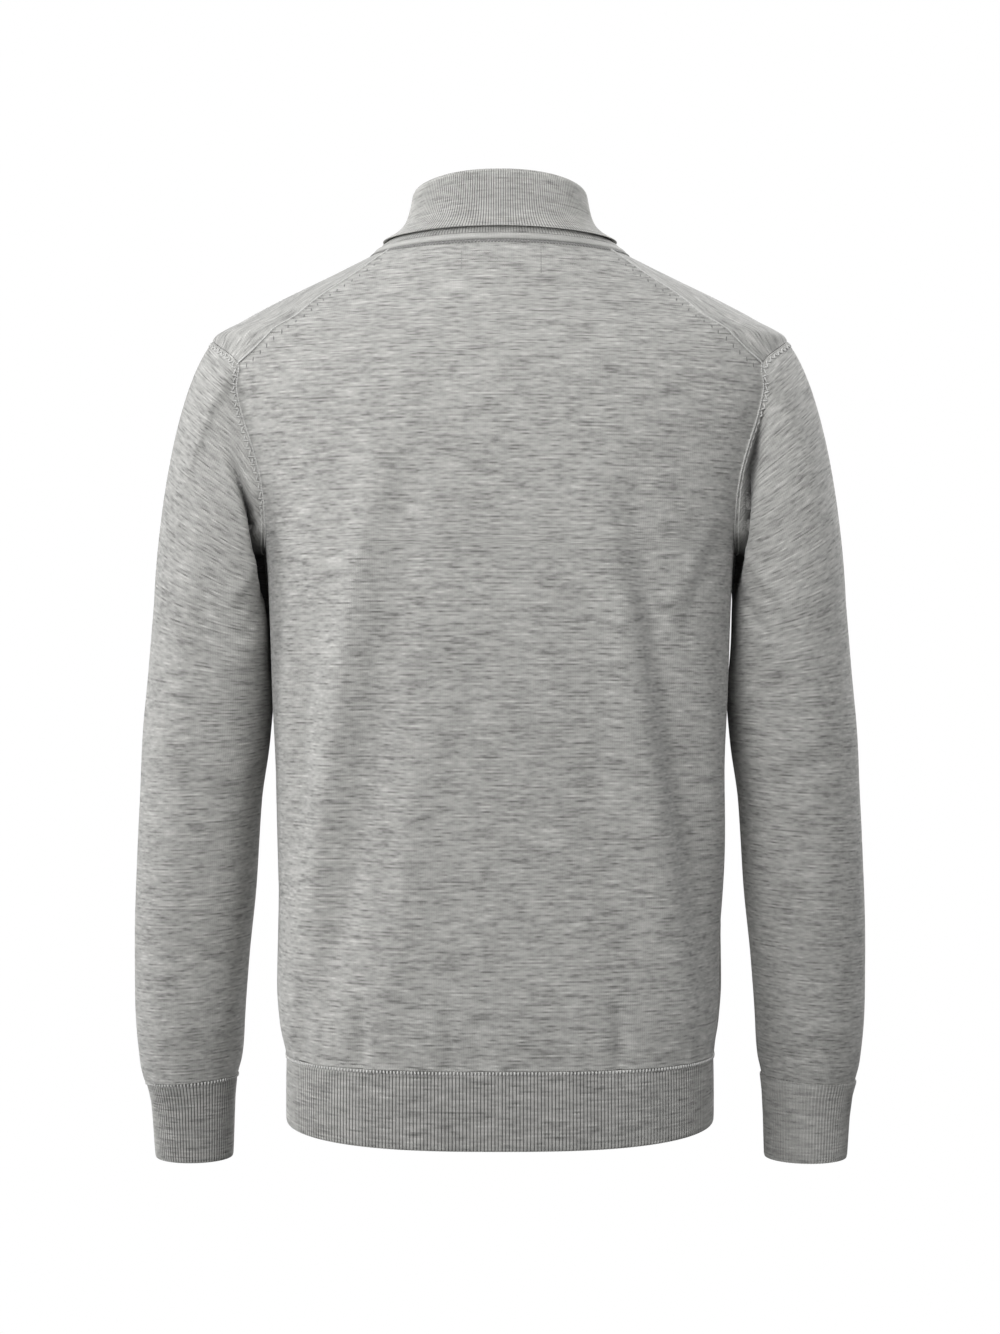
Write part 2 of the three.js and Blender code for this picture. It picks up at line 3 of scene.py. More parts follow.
import bpy
import numpy as np
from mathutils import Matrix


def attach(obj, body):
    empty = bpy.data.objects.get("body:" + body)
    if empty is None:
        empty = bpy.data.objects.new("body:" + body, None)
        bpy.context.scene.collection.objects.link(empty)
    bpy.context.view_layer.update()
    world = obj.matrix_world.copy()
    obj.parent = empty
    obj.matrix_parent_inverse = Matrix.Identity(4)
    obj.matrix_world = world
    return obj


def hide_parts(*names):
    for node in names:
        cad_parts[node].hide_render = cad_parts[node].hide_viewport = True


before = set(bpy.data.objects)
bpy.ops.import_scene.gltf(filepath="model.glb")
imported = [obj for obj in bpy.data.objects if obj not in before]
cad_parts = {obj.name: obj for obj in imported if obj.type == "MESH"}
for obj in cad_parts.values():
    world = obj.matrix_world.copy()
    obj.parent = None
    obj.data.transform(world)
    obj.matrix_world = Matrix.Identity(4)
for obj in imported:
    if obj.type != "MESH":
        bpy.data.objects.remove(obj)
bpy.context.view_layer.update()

# The looks of a turtleneck sweater in fine melange jersey, in its worn form.
# Sizes are millimetres until a mesh is made. +Z is up, the front faces -Y and the wearer's left is +X.
MM = 0.001
JERSEY_WALL = 1.6
RIB_WALL = 2.4
RIB_DEPTH = 0.8
SEAM_GAP = 0.3
HEM_RIBS = 356
CUFF_RIBS = 86
COLLAR_RIBS = 236
RIB_COLUMNS = 6  # points across one rib and its furrow
WALE = 1.75  # width of one column of knit stitches
COURSE = 1.3  # height of one row of knit stitches


def table(columns, rows):
    """Rows of numbers under named columns"""
    return {name: np.array([row[i] for row in rows], float) for i, name in enumerate(columns.split())}


# Level sections of the body: half width, depth behind and before the side seams,
# and the power of the rounded outline, where 2 is an ellipse
BODY = table("z half back front power", [
    (0, 91, 64, 62, 2),
    (-7.5, 99.5, 67, 66, 1.9),
    (-12, 108.3, 70, 69, 1.85),
    (-27.5, 140.2, 78, 77, 1.75),
    (-43, 172.4, 86, 84, 1.72),
    (-58.8, 201.6, 94, 90, 1.78),
    (-74.3, 225, 101, 95, 1.88),
    (-100, 223, 111, 102, 1.96),
    (-130, 216, 118, 108, 2.02),
    (-170, 204, 123, 115, 2.08),
    (-210, 191, 126, 120, 2.2),
    (-240, 183, 127.5, 122, 2.3),
    (-277, 180.6, 128, 123, 2.35),
    (-356, 177.6, 126, 120, 2.4),
    (-418, 174.3, 122, 115, 2.45),
    (-505, 172.7, 119.5, 111, 2.5),
    (-575, 173.6, 120, 112, 2.55),
    (-604, 171.4, 119.5, 112, 2.6),
    (-629, 166.6, 117, 111, 2.7),
])
BODY_BOTTOM = -629

# Folds of the body: a ridge where height is above 0 and a trough where it is below.
# face is 1 on the back and -1 on the front, and width is across the fold.
FOLDS = table("face top_x top_z bottom_x bottom_z width height", [
    # The long folds down the back, on its left and then on its right
    (1, 87, -140, 160, -628, 14, 7.2),
    (1, 60, -150, 138, -628, 13, -6.2),
    (1, 52, -340, 84, -606, 15, 5.0),
    (1, 143, -280, 150, -480, 8, -3.2),
    (1, 160, -270, 166, -500, 8, 2.8),
    (1, -68, -160, -142, -622, 16, 8.2),
    (1, -94, -170, -173, -626, 15, -8.8),
    (1, -152, -300, -174, -540, 9, 4.6),
    (1, -56, -300, -92, -560, 16, -2.6),
    # Softer ones between them
    (1, 22, -440, 8, -610, 30, 1.2),
    (1, -44, -480, -48, -612, 22, -1.2),
    # Their like on the front
    (-1, 120, -220, 104, -400, 17, 3),
    (-1, 92, -440, 100, -600, 18, -3),
    (-1, 138, -450, 134, -600, 14, 2),
    (-1, -124, -225, -110, -380, 16, 3),
    (-1, -96, -430, -88, -590, 18, -3),
    (-1, -140, -430, -144, -605, 13, 2),
    # Drags that run down and inwards from the armpits
    (1, 167, -214, 122, -300, 8, 1.5),
    (1, 163, -236, 130, -330, 8, -1.3),
    (1, -168, -206, -124, -292, 8, 1.7),
    (1, -164, -232, -132, -322, 7, -1.5),
    # Short dents above the hem, where the jersey is gathered onto the rib
    (1, 148, -556, 151, -644, 6, -3.6),
    (1, 104, -570, 105, -644, 5, -3.2),
    (1, 62, -580, 61, -642, 5, 1.8),
    (1, 37, -568, 36, -644, 5, -2.9),
    (1, 15, -584, 14, -642, 4.5, -2.2),
    (1, -58, -578, -58, -642, 6, 1.1),
    (1, -89, -564, -90, -644, 5.5, -3.1),
    (1, -150, -560, -152, -640, 6, -2.6),
    (-1, 164, -212, 118, -310, 9, 1.5),
    (-1, -160, -220, -112, -316, 9, -1.4),
    (-1, 60, -330, 54, -480, 20, -0.9),
    (-1, -48, -350, -56, -520, 22, 1.0),
    (-1, 24, -460, 30, -612, 24, -0.8),
    (-1, -116, -470, -118, -612, 9, 1.2),
    (-1, 156, -300, 150, -450, 9, -1.3),
    (-1, -154, -310, -152, -470, 9, -1.2),
    (-1, 132, -568, 133, -642, 7, -1.9),
    (-1, 78, -576, 78, -640, 6, -1.6),
    (-1, -66, -572, -67, -640, 7, -1.8),
    (-1, -136, -564, -138, -640, 7, -1.8),
])

# The armhole, from the tip of the shoulder down the back, under the arm and up the front.
# turn is the angle round the sleeve that each point leads to, in degrees.
ARMHOLE = table("x z face turn", [
    (225, -74.3, 1, 0),
    (214, -84, 1, 22),
    (201, -97, 1, 44),
    (202, -117, 1, 60),
    (197.5, -137, 1, 75),
    (190, -160, 1, 92),
    (183.5, -184, 1, 112),
    (180.5, -209, 1, 135),
    (180.5, -228, 1, 158),
    (183, -240, 1, 180),
    (180, -228, -1, 202),
    (179.5, -209, -1, 225),
    (181, -184, -1, 248),
    (184.5, -160, -1, 268),
    (190, -136, -1, 286),
    (197, -114, -1, 304),
    (205, -97, -1, 322),
    (214, -84, -1, 341),
])
ARMHOLE_ROWS = len(ARMHOLE["x"])
JUNCTION_ROW = 2  # where the shoulder seam on the back meets the armhole
UNDERARM_ROW = 9

# The seam on the back where the front panel, brought over the shoulder, meets the back panel
SHOULDER_SEAM = table("x z", [
    (85.5, -7.2),
    (110, -26),
    (137, -45),
    (164, -67),
    (187, -86),
    (201, -97),
])

# How the sleeve sets off from the armhole at each turn: its direction, of length 1 or near it
SLEEVE_START = table("turn x y z", [
    (0, 0.62, 0, -0.78),
    (45, 0.74, 0.08, -0.66),
    (75, 0.7, 0.22, -0.68),
    (92, 0.64, 0.3, -0.7),
    (112, 0.5, 0.33, -0.8),
    (135, 0.36, 0.3, -0.88),
    (158, 0.2, 0.15, -0.96),
    (180, 0.12, 0, -0.99),
])

# Level sections of the left sleeve under the armhole: centre, half width and half depth
SLEEVE = table("z x y half depth", [
    (-277, 227.2, -4, 44, 61),
    (-330, 229, -8, 47.2, 58),
    (-388, 232.2, -14, 50, 55),
    (-436, 237, -20, 48.1, 52),
    (-500, 241.6, -30, 47.8, 49.5),
    (-565, 246.7, -42, 45.5, 47),
    (-620, 249, -52, 43.2, 45.5),
    (-645, 249, -56.5, 41, 43),
    (-660, 248.8, -58, 37.6, 39.5),
])
SLEEVE_TOP, SLEEVE_BOTTOM = SLEEVE["z"][[0, -1]]

# The deep crease of each sleeve, from beside the armhole down to the armpit: the points of its
# path seen from behind or in front, and its width and depth there
ARMPIT_CREASES = {
    "left": table("face x z width depth", [
        (1, 209, -164, 3, 0),
        (1, 204, -176, 3.2, 6),
        (1, 196, -196, 3.8, 12),
        (1, 188, -214, 4.8, 16),
        (1, 183.5, -232, 5.5, 18),
        (1, 181.5, -252, 5.5, 14),
        (1, 180, -272, 5, 7),
        (1, 179, -292, 5, 0),
        (-1, 209, -160, 4, 0),
        (-1, 202, -178, 5, 3),
        (-1, 194, -200, 6, 5.5),
        (-1, 185, -220, 6, 6.5),
        (-1, 181, -240, 5, 4),
        (-1, 180, -262, 5, 0),
    ]),
    "right": table("face x z width depth", [
        (1, 203, -126, 3.5, 0),
        (1, 199, -142, 4.5, 7),
        (1, 193.5, -164, 6, 14),
        (1, 187, -190, 7, 18),
        (1, 182.5, -216, 6.5, 18),
        (1, 180.5, -240, 6, 14),
        (1, 179.5, -264, 5, 7),
        (1, 179, -286, 5, 0),
        (-1, 208, -158, 4, 0),
        (-1, 201, -176, 5, 3),
        (-1, 193, -198, 6, 5.5),
        (-1, 185, -219, 6, 6.5),
        (-1, 181, -240, 5, 4),
        (-1, 180, -262, 5, 0),
    ]),
}

# Soft creases of a sleeve: centre as a turn in degrees and a height, tilt in millimetres of rise
# for each degree, half span in degrees, width across and height
SLEEVE_CREASES = {
    "left": table("turn z tilt span width height", [
        # The full cloth over the armpit, and where the sleeve leans on the body's side
        (136, -300, 0, 44, 44, 6.5),
        (122, -330, 0, 34, 150, 4.2),
        (218, -284, 0, 44, 38, 4.0),
        (180, -352, 0, 48, 26, 2.4),
        (128, -262, 1.0, 52, 9, 2.0),
        (140, -288, 0.9, 50, 8, -1.6),
        (104, -330, 0.5, 46, 10, 1.2),
        (76, -392, -0.35, 48, 11, 1.3),
        (98, -424, -0.3, 52, 9, -1.3),
        (120, -446, 0.25, 40, 10, 1.1),
        (64, -520, 0.2, 44, 12, 0.9),
        (110, -560, -0.25, 46, 9, -1.0),
        (84, -618, 0.15, 50, 7, 1.2),
        (130, -634, -0.12, 44, 6, -0.9),
        (232, -268, -1.0, 50, 9, 1.9),
        (246, -300, -0.8, 46, 9, -1.5),
        (270, -400, 0.4, 50, 11, 1.6),
        (262, -430, 0.3, 46, 9, -1.5),
        (284, -456, 0.2, 44, 9, 1.4),
        (276, -545, -0.2, 46, 11, -1.0),
        (262, -622, 0.15, 50, 7, 1.2),
    ]),
    "right": table("turn z tilt span width height", [
        (128, -290, 0, 40, 42, 4.5),
        (226, -280, 0, 40, 38, 3.5),
        (180, -352, 0, 48, 26, 2.4),
        (126, -256, 1.05, 50, 9, 2.2),
        (142, -280, 0.95, 48, 8, -1.8),
        (112, -318, 0.6, 44, 9, 1.3),
        (80, -384, -0.4, 46, 10, 1.2),
        (92, -410, -0.35, 50, 8, -1.4),
        (118, -436, 0.2, 40, 10, 1.2),
        (70, -505, 0.25, 42, 12, 0.8),
        (104, -574, -0.2, 46, 9, -1.0),
        (88, -612, 0.12, 50, 7, 1.1),
        (126, -638, -0.1, 42, 6, -1.0),
        (230, -262, -1.0, 50, 9, 2.0),
        (248, -294, -0.85, 46, 9, -1.4),
        (266, -394, 0.35, 50, 11, 1.5),
        (270, -426, 0.3, 46, 9, -1.6),
        (280, -460, 0.25, 42, 9, 1.2),
        (270, -550, -0.2, 48, 11, -1.0),
        (266, -618, 0.12, 50, 7, 1.3),
    ]),
}

CUFF = table("z x y half depth", [
    (-660, 248.8, -58, 36.8, 38.5),
    (-680, 248, -61, 33.6, 34.5),
    (-726, 247.6, -66, 31.3, 33),
])
CUFF_TILT = 2.6  # the outer edge of the cuff's top lies this much lower than its middle

HEM_TOP = {"z": -629, "half": 166.2, "back": 117.4, "front": 111.4, "power": 2.7}
HEM_BOTTOM = {"z": -681, "half": 166.5, "back": 119, "front": 113, "power": 2.7}
HEM_DIP = 7  # the hem hangs lower at the middle of the back and front

# Heights at the middle of the back, at the sides and at the middle of the front
NECK_LINE = {"back": -5, "side": -7.3, "front": -34, "power": 2.2}
COLLAR_TOP = {"back": 50.4, "side": 41.5, "front": 32, "power": 1.4}
COLLAR_EDGE = {"back": 5.6, "side": 2.8, "front": -20, "power": 2.4}
NECK_TOP = {"half": 64.5, "back": 57, "front": 62, "power": 2.2}

# How far the stand has moved in from the linking line at each part of its height
NECK_PROFILE = table("rise inward", [
    (0, 0),
    (0.16, 0.22),
    (0.25, 0.46),
    (0.34, 0.66),
    (0.48, 0.83),
    (0.66, 0.92),
    (0.88, 0.98),
    (1, 1),
])
BAND_TOP = 0.1  # the neck band's part of the height
STAND_FOOT = 0.107
FALL = table("drop off", [
    (0, 3.8),
    (0.7, 4.1),
    (1, 4.8),
])
FALL_TOP_RISE = 0.9
NECK_START = 1 / 3  # the share of the front's upper rows that end on the middle line


def hermite(start, end, start_slope, end_slope, t):
    ends = start * (1 + 2 * t) * (1 - t) ** 2 + end * t * t * (3 - 2 * t)
    return ends + start_slope * t * (1 - t) ** 2 - end_slope * t * t * (1 - t)


def lerp(a, b, t):
    return a + (b - a) * t


def smooth_share(value, low, high):
    """0 below low, 1 above high and a soft step between them"""
    t = np.clip((value - low) / (high - low), 0, 1)
    return t * t * (3 - 2 * t)


def along(rows, key, value, column):
    """A smooth value in a table's column, where the key column is at a given value"""
    keys, values = rows[key], rows[column]
    slopes = np.diff(values) / np.diff(keys)
    before, after = slopes[:-1], slopes[1:]
    total = np.where(before * after > 0, before + after, 1)
    bends = np.where(before * after > 0, 2 * before * after / total, 0)
    tangents = np.concatenate([slopes[:1], bends, slopes[-1:]])
    way = np.sign(keys[-1] - keys[0])
    i = np.clip(np.searchsorted(way * keys, way * np.asarray(value, float)) - 1, 0, len(keys) - 2)
    span = keys[i + 1] - keys[i]
    t = np.clip((value - keys[i]) / span, 0, 1)
    return hermite(values[i], values[i + 1], span * tangents[i], span * tangents[i + 1], t)


def length_of(vectors):
    return np.linalg.norm(vectors, axis=-1, keepdims=True)


def unit(vectors):
    return vectors / np.maximum(length_of(vectors), 1e-12)


def curve_at(points, t, closed=False):
    """Points of the smooth curve through some points, where t counts them"""
    points = np.asarray(points, float)
    t = np.asarray(t, float)
    if closed:
        low = np.floor(t).astype(int)
        p0, p1, p2, p3 = (points[(low + k) % len(points)] for k in (-1, 0, 1, 2))
    else:
        low = np.clip(np.floor(t).astype(int), 0, len(points) - 2)
        padded = np.vstack([2 * points[0] - points[1], points, 2 * points[-1] - points[-2]])
        p0, p1, p2, p3 = (padded[low + k] for k in range(4))
    d0, d1, d2 = (length_of(b - a) ** 0.5 for a, b in ((p0, p1), (p1, p2), (p2, p3)))
    start = ((p1 - p0) / d0 - (p2 - p0) / (d0 + d1) + (p2 - p1) / d1) * d1
    end = ((p2 - p1) / d1 - (p3 - p1) / (d1 + d2) + (p3 - p2) / d2) * d1
    return hermite(p1, p2, start, end, (t - low)[..., None])


def travelled(points):
    """The length along a line of points, from its first one"""
    steps = length_of(np.diff(points, axis=-2))[..., 0]
    return np.concatenate([np.zeros_like(steps[..., :1]), np.cumsum(steps, axis=-1)], axis=-1)


def even_parts(points, count):
    """The settings, from 0 to 1, that split a finely given line into equal lengths"""
    lengths = travelled(points)
    return np.interp(np.linspace(0, lengths[-1], count + 1), lengths, np.linspace(0, 1, len(points)))


# The body's smooth form

def body_section(z):
    return {column: along(BODY, "z", z, column) for column in ("half", "back", "front", "power")}


def outline_point(angle, z, section):
    """A point of a rounded outline, at an angle from +X towards the back"""
    power = 2 / section["power"]
    cos, sin = np.cos(angle), np.sin(angle)
    depth = np.where(sin > 0, section["back"], section["front"])
    x = section["half"] * np.sign(cos) * np.abs(cos) ** power
    y = depth * np.sign(sin) * np.abs(sin) ** power
    return np.stack(np.broadcast_arrays(x, y, z), axis=-1)


def body_point(angle, z):
    return outline_point(angle, z, body_section(z))


def body_normal(points):
    """The way out of the body, from how fast the reach of its outline grows"""
    step = 0.5

    def reach(dx, dy, dz):
        x, y = points[..., 0] + dx, points[..., 1] + dy
        section = body_section(points[..., 2] + dz)
        depth = np.where(y > 0, section["back"], section["front"])
        return np.abs(x / section["half"]) ** section["power"] + np.abs(y / depth) ** section["power"]

    slopes = [reach(*axis * step) - reach(*-axis * step) for axis in np.eye(3)]
    return unit(np.stack(slopes, axis=-1))


def fold_height(points):
    x, y, z = np.moveaxis(points, -1, 0)
    height = np.zeros_like(x)
    for face, top_x, top_z, bottom_x, bottom_z, width, high in zip(*FOLDS.values()):
        part = np.clip((top_z - z) / (top_z - bottom_z), 0, 1)
        across = (x - lerp(top_x, bottom_x, part)) / width
        height += (np.sign(y) == face) * high * np.sin(np.pi * part) ** 0.8 * np.exp(-across * across)
    return height


def pucker_table():
    """Short upright puckers where the jersey is gathered onto the hem rib, all round the body"""
    draw = np.random.default_rng(11)
    angles = []
    angle = 0.0
    while angle < 2 * math.pi:
        angles.append(angle)
        angle += draw.uniform(0.05, 0.12)
    count = len(angles)
    return {
        "angle": np.array(angles),
        "width": draw.uniform(3.2, 6, count),
        "length": draw.uniform(14, 46, count),
        "height": draw.uniform(-1.1, 1.2, count),
    }


PUCKERS = pucker_table()


def pucker_height(angle, z):
    low = z < BODY_BOTTOM + 50
    height = np.zeros_like(z)
    radius = 150  # near enough to turn an angle into a width
    for place, width, length, high in zip(*PUCKERS.values()):
        turn = (angle[low] - place + math.pi) % (2 * math.pi) - math.pi
        up = (z[low] - BODY_BOTTOM) / length
        height[low] += high * np.exp(-((turn * radius / width) ** 2)) * np.exp(-up * up)
    return height


def body_cloth(angle, z):
    """Points of the cloth, with the way out of it"""
    smooth = body_point(angle, z)
    normal = body_normal(smooth)
    raised = fold_height(smooth) + pucker_height(angle % (2 * math.pi), smooth[..., 2])
    return smooth + normal * raised[..., None], normal


def body_angle(x, z):
    section = body_section(z)
    return np.arccos(np.minimum(1, x / section["half"]) ** (section["power"] / 2))


def level_at(angle, levels):
    sin = np.sin(angle)
    end = np.where(sin > 0, levels["back"], levels["front"])
    return levels["side"] + (end - levels["side"]) * np.abs(sin) ** levels["power"]


# Places on the body are kept as an angle and a height, and this brings the two to one scale
ANGLE_SCALE = 100
ARMHOLE_PLACES = np.stack([
    ARMHOLE["face"] * body_angle(ARMHOLE["x"], ARMHOLE["z"]) * ANGLE_SCALE,
    ARMHOLE["z"],
], axis=-1)
SEAM_PLACES = np.stack([
    body_angle(SHOULDER_SEAM["x"], SHOULDER_SEAM["z"]) * ANGLE_SCALE,
    SHOULDER_SEAM["z"],
], axis=-1)
SEAM_PLACES[-1] = ARMHOLE_PLACES[JUNCTION_ROW]
NECK_CORNER = SEAM_PLACES[0, 0] / ANGLE_SCALE
UNDERARM_Z = ARMHOLE["z"][UNDERARM_ROW]
FINE = 361


def armhole_at(row):
    place = curve_at(ARMHOLE_PLACES, row, closed=True)
    return place[..., 0] / ANGLE_SCALE, place[..., 1]


def turn_at(row):
    row = np.asarray(row) % ARMHOLE_ROWS
    return np.radians(np.interp(row, np.arange(ARMHOLE_ROWS + 1), np.append(ARMHOLE["turn"], 360)))


def seam_at(part):
    """A place on the shoulder seam, 0 at the neck and 1 at the armhole"""
    last = len(SEAM_PLACES) - 1
    fine = np.linspace(0, last, FINE)
    lengths = travelled(curve_at(SEAM_PLACES, fine))
    place = curve_at(SEAM_PLACES, np.interp(part, lengths / lengths[-1], fine))
    return place[..., 0] / ANGLE_SCALE, place[..., 1]


# Grids of cloth

STEP = 3.0  # the mesh of the jersey, in millimetres
BACK_COLUMNS = 168
FRONT_COLUMNS = 84


EDGE_LINES = np.array([0, 0.35, 0.8, 1.3, 1.9, 2.6])  # finer lines of the mesh beside a seam
RIDGE_PLACE = 0.95  # the rolled edge beside a seam: how far in its crest is, and its half width
RIDGE_WIDTH = 0.7


def with_edges(length, count):
    """Distances along a line: fine ones near both ends and even ones between"""
    inner = np.linspace(EDGE_LINES[-1], length - EDGE_LINES[-1], count + 1)[1:-1]
    return np.concatenate([EDGE_LINES, inner, length - EDGE_LINES[::-1]])


def places_row(place_at, count):
    """Places along a path of places, finer at its ends, as an angle and a height for each"""
    parts = np.linspace(0, 1, FINE)
    lengths = travelled(body_point(*place_at(parts)))
    return np.stack(place_at(np.interp(with_edges(lengths[-1], count), lengths, parts)))


def ridge(distance):
    """The share of a rolled edge's height at a distance from the seam"""
    return np.exp(-(((distance - RIDGE_PLACE) / RIDGE_WIDTH) ** 2))


def grid_sheet(points, normals, across, up):
    """A grid of cloth with its knit coordinates: columns of stitches across and rows of them up"""
    knit = np.stack([across / WALE, np.broadcast_to(up, across.shape) / COURSE], axis=-1)
    return {"points": points, "normals": normals, "knit": knit}


def heights_of(points):
    """How far up the cloth each row of a grid lies, by the mean length between rows"""
    steps = length_of(np.diff(points, axis=0))[..., 0].mean(axis=1)
    return np.concatenate([[0], np.cumsum(steps)])


def pull_back(edge, inside):
    edge += unit(inside - edge) * SEAM_GAP / 2


def lower_levels():
    count = round((UNDERARM_Z - BODY_BOTTOM) / STEP)
    even = np.linspace(BODY_BOTTOM, UNDERARM_Z, count + 1)[1:-1]
    return np.concatenate([BODY_BOTTOM + EDGE_LINES, even[even > BODY_BOTTOM + EDGE_LINES[-1] + 1]])


def side_ridge(z, seam, armhole):
    """The height of a panel's rolled edge: low along the side seam and higher round the armhole"""
    return lerp(seam, armhole, smooth_share(z, UNDERARM_Z - 12, UNDERARM_Z + 12))


def back_sheet():
    rows = []

    def add(end_angle, z, sag_share=0.0):
        def place_at(part):
            angle = lerp(end_angle, math.pi - end_angle, part)
            sag = level_at(angle, NECK_LINE) - level_at(NECK_CORNER, NECK_LINE)
            return angle, z + sag_share * sag

        rows.append(places_row(place_at, BACK_COLUMNS))

    for z in lower_levels():
        add(0.0, z)
    for row in np.linspace(UNDERARM_ROW, JUNCTION_ROW, 50):
        angle, z = armhole_at(row)
        add(abs(angle), z)
    fine = np.linspace(0, 1, FINE)
    lengths = travelled(body_point(*seam_at(fine)))
    for part in np.interp(with_edges(lengths[-1], 54), lengths, fine)[-2::-1]:
        angle, z = seam_at(part)
        add(angle, z, (1 - part) ** 3)
    angle, z = np.moveaxis(np.array(rows), 1, 0)
    points, normals = body_cloth(angle, z)
    across = travelled(points)
    up = heights_of(points)
    raised = side_ridge(points[..., 2], 0.35, 0.85) * (ridge(across) + ridge(across[:, -1:] - across))
    raised += 0.5 * ridge(up[-1] - up)[:, None] + 0.3 * ridge(up)[:, None]
    points = points + normals * raised[..., None]
    for edge, inside in ((0, 1), (-1, -2)):
        pull_back(points[edge], points[inside])
        pull_back(points[:, edge], points[:, inside])
    return grid_sheet(points, normals, across - across[:, -1:] / 2, up[:, None])


def front_inner(part):
    """The path of the front panel's inner edge: up the middle of the front, then round the neck"""
    centre = -math.pi / 2
    if part <= NECK_START:
        return centre, lerp(UNDERARM_Z, NECK_LINE["front"], part / NECK_START)
    angle = lerp(centre, NECK_CORNER, (part - NECK_START) / (1 - NECK_START))
    return angle, level_at(angle, NECK_LINE)


FRONT_LEVEL_UP_TO = (580, 670)  # the front's rows of stitches run level up to here, then with the shoulder


def front_sheets():
    """The front panel as two grids that meet at the middle line, the left one first"""
    rows = [places_row(lambda part: (lerp(-math.pi / 2, 0, part), z + 0 * part), FRONT_COLUMNS)
            for z in lower_levels()]
    first_angle, first_z = seam_at(0.0)
    last_angle, last_z = seam_at(1.0)
    for up in np.linspace(0, 1, 106):
        inner_angle, inner_z = front_inner(up)
        outer_angle, outer_z = armhole_at(lerp(UNDERARM_ROW, ARMHOLE_ROWS + JUNCTION_ROW, up))

        def place_at(part):
            seam_angle, seam_z = seam_at(part)
            bow_angle = seam_angle - lerp(first_angle, last_angle, part)
            bow_z = seam_z - lerp(first_z, last_z, part)
            angle = lerp(inner_angle, outer_angle, part) + up**4 * bow_angle
            return angle, lerp(inner_z, outer_z, part) + up**4 * bow_z

        rows.append(places_row(place_at, FRONT_COLUMNS))
    angle, z = np.moveaxis(np.array(rows), 1, 0)
    points, normals = body_cloth(angle, z)
    right_points, right_normals = body_cloth(math.pi - angle, z)
    sheets = []
    for side, (grid, ways) in enumerate(((points, normals), (right_points, right_normals))):
        across, up = travelled(grid), heights_of(grid)
        neck = np.abs(grid[:, 0, 0]) > 1e-3
        raised = side_ridge(grid[..., 2], 0.35, 0.3) * ridge(across[:, -1:] - across)
        raised += 0.5 * neck[:, None] * ridge(across) + 0.3 * ridge(up)[:, None]
        raised += 0.25 * ridge(up[-1] - up)[:, None]
        grid = grid + ways * raised[..., None]
        pull_back(grid[0], grid[1])
        pull_back(grid[-1], grid[-2])
        pull_back(grid[:, -1], grid[:, -2])
        edge = grid[neck, 0]
        pull_back(edge, grid[neck, 1])
        grid[neck, 0] = edge
        across = np.abs(grid[:, :1, 0]) + across
        slant = grid[..., 2] - grid[..., 2].mean(axis=1, keepdims=True)
        rows_up = up[:, None] + slant * (1 - smooth_share(up, *FRONT_LEVEL_UP_TO))[:, None]
        if side == 1:
            grid, ways, across, rows_up = grid[:, ::-1], ways[:, ::-1], -across[:, ::-1], rows_up[:, ::-1]
        sheets.append(grid_sheet(grid, ways, across, rows_up))
    return sheets


# Sleeves

SLEEVE_COLUMNS = 200
SLEEVE_SPREAD = table("part row", [  # more lines from the lower back of the armhole to its lower front
    (0, 9),
    (0.3, 13),
    (0.64, 22),
    (1, 27),
])
ARMPIT_MIDDLE = -4  # the creases in front and behind are told apart at this depth
HEAD_ROWS = 64
CREASE_SHADED = 12  # a crease this deep gets the full painted shade
SLEEVE_LEVELS = 110


def sleeve_start(turn):
    degrees = np.degrees(turn)
    folded = np.where(degrees <= 180, degrees, 360 - degrees)
    x, y, z = (along(SLEEVE_START, "turn", folded, axis) for axis in "xyz")
    return unit(np.stack([x, np.where(degrees <= 180, y, -y), z], axis=-1))


def sleeve_ring(turn, z):
    x, y, half, depth = (along(SLEEVE, "z", z, column) for column in ("x", "y", "half", "depth"))
    return np.stack(np.broadcast_arrays(x + half * np.cos(turn), y + depth * np.sin(turn), z), axis=-1)


def sleeve_lines(rows):
    """Lines of the left sleeve from places of the armhole down to the cuff, as a grid with a line for each"""
    rows = np.atleast_1d(np.asarray(rows, float))
    turn = turn_at(rows)
    point, normal = body_cloth(*armhole_at(rows))
    start = sleeve_start(turn)
    facing = (1 - np.cos(turn))[:, None] / 2
    first = point + start * SEAM_GAP / 2 + normal * SEAM_GAP * facing * 1.2
    ring = sleeve_ring(turn, SLEEVE_TOP)
    length = length_of(ring - first)
    end = np.array([0.04, -0.05, -1]) * length * 0.7
    fine = np.broadcast_to(EDGE_LINES[:-1], (len(rows), len(EDGE_LINES) - 1)) / length
    last = EDGE_LINES[-1] / length
    steps = np.concatenate([fine, last + (1 - last) * np.linspace(0, 1, HEAD_ROWS)], axis=1)[..., None]
    head = hermite(first[:, None], ring[:, None], (start * length * 0.72)[:, None], end[:, None], steps)
    levels = np.linspace(SLEEVE_TOP, SLEEVE_BOTTOM, SLEEVE_LEVELS + 1)[1:]
    tube = sleeve_ring(turn[:, None], levels[None, :])
    lines = np.concatenate([head, tube], axis=1)
    tilt_share = smooth_share(-lines[..., 2], -SLEEVE_BOTTOM - 34, -SLEEVE_BOTTOM)
    lines[..., 2] += tilt_share * (SEAM_GAP / 2 - CUFF_TILT * np.cos(turn)[:, None])
    return lines, turn


def crease_height(turn, z, creases):
    degrees = np.degrees(turn)
    height = np.zeros_like(z)
    for centre, level, tilt, span, width, high in zip(*creases.values()):
        along_it = (degrees - centre) / span
        off = (z - level - tilt * (degrees - centre)) / width
        height += high * np.clip(1 - along_it**2, 0, 1) ** 1.5 * np.exp(-off * off)
    return height


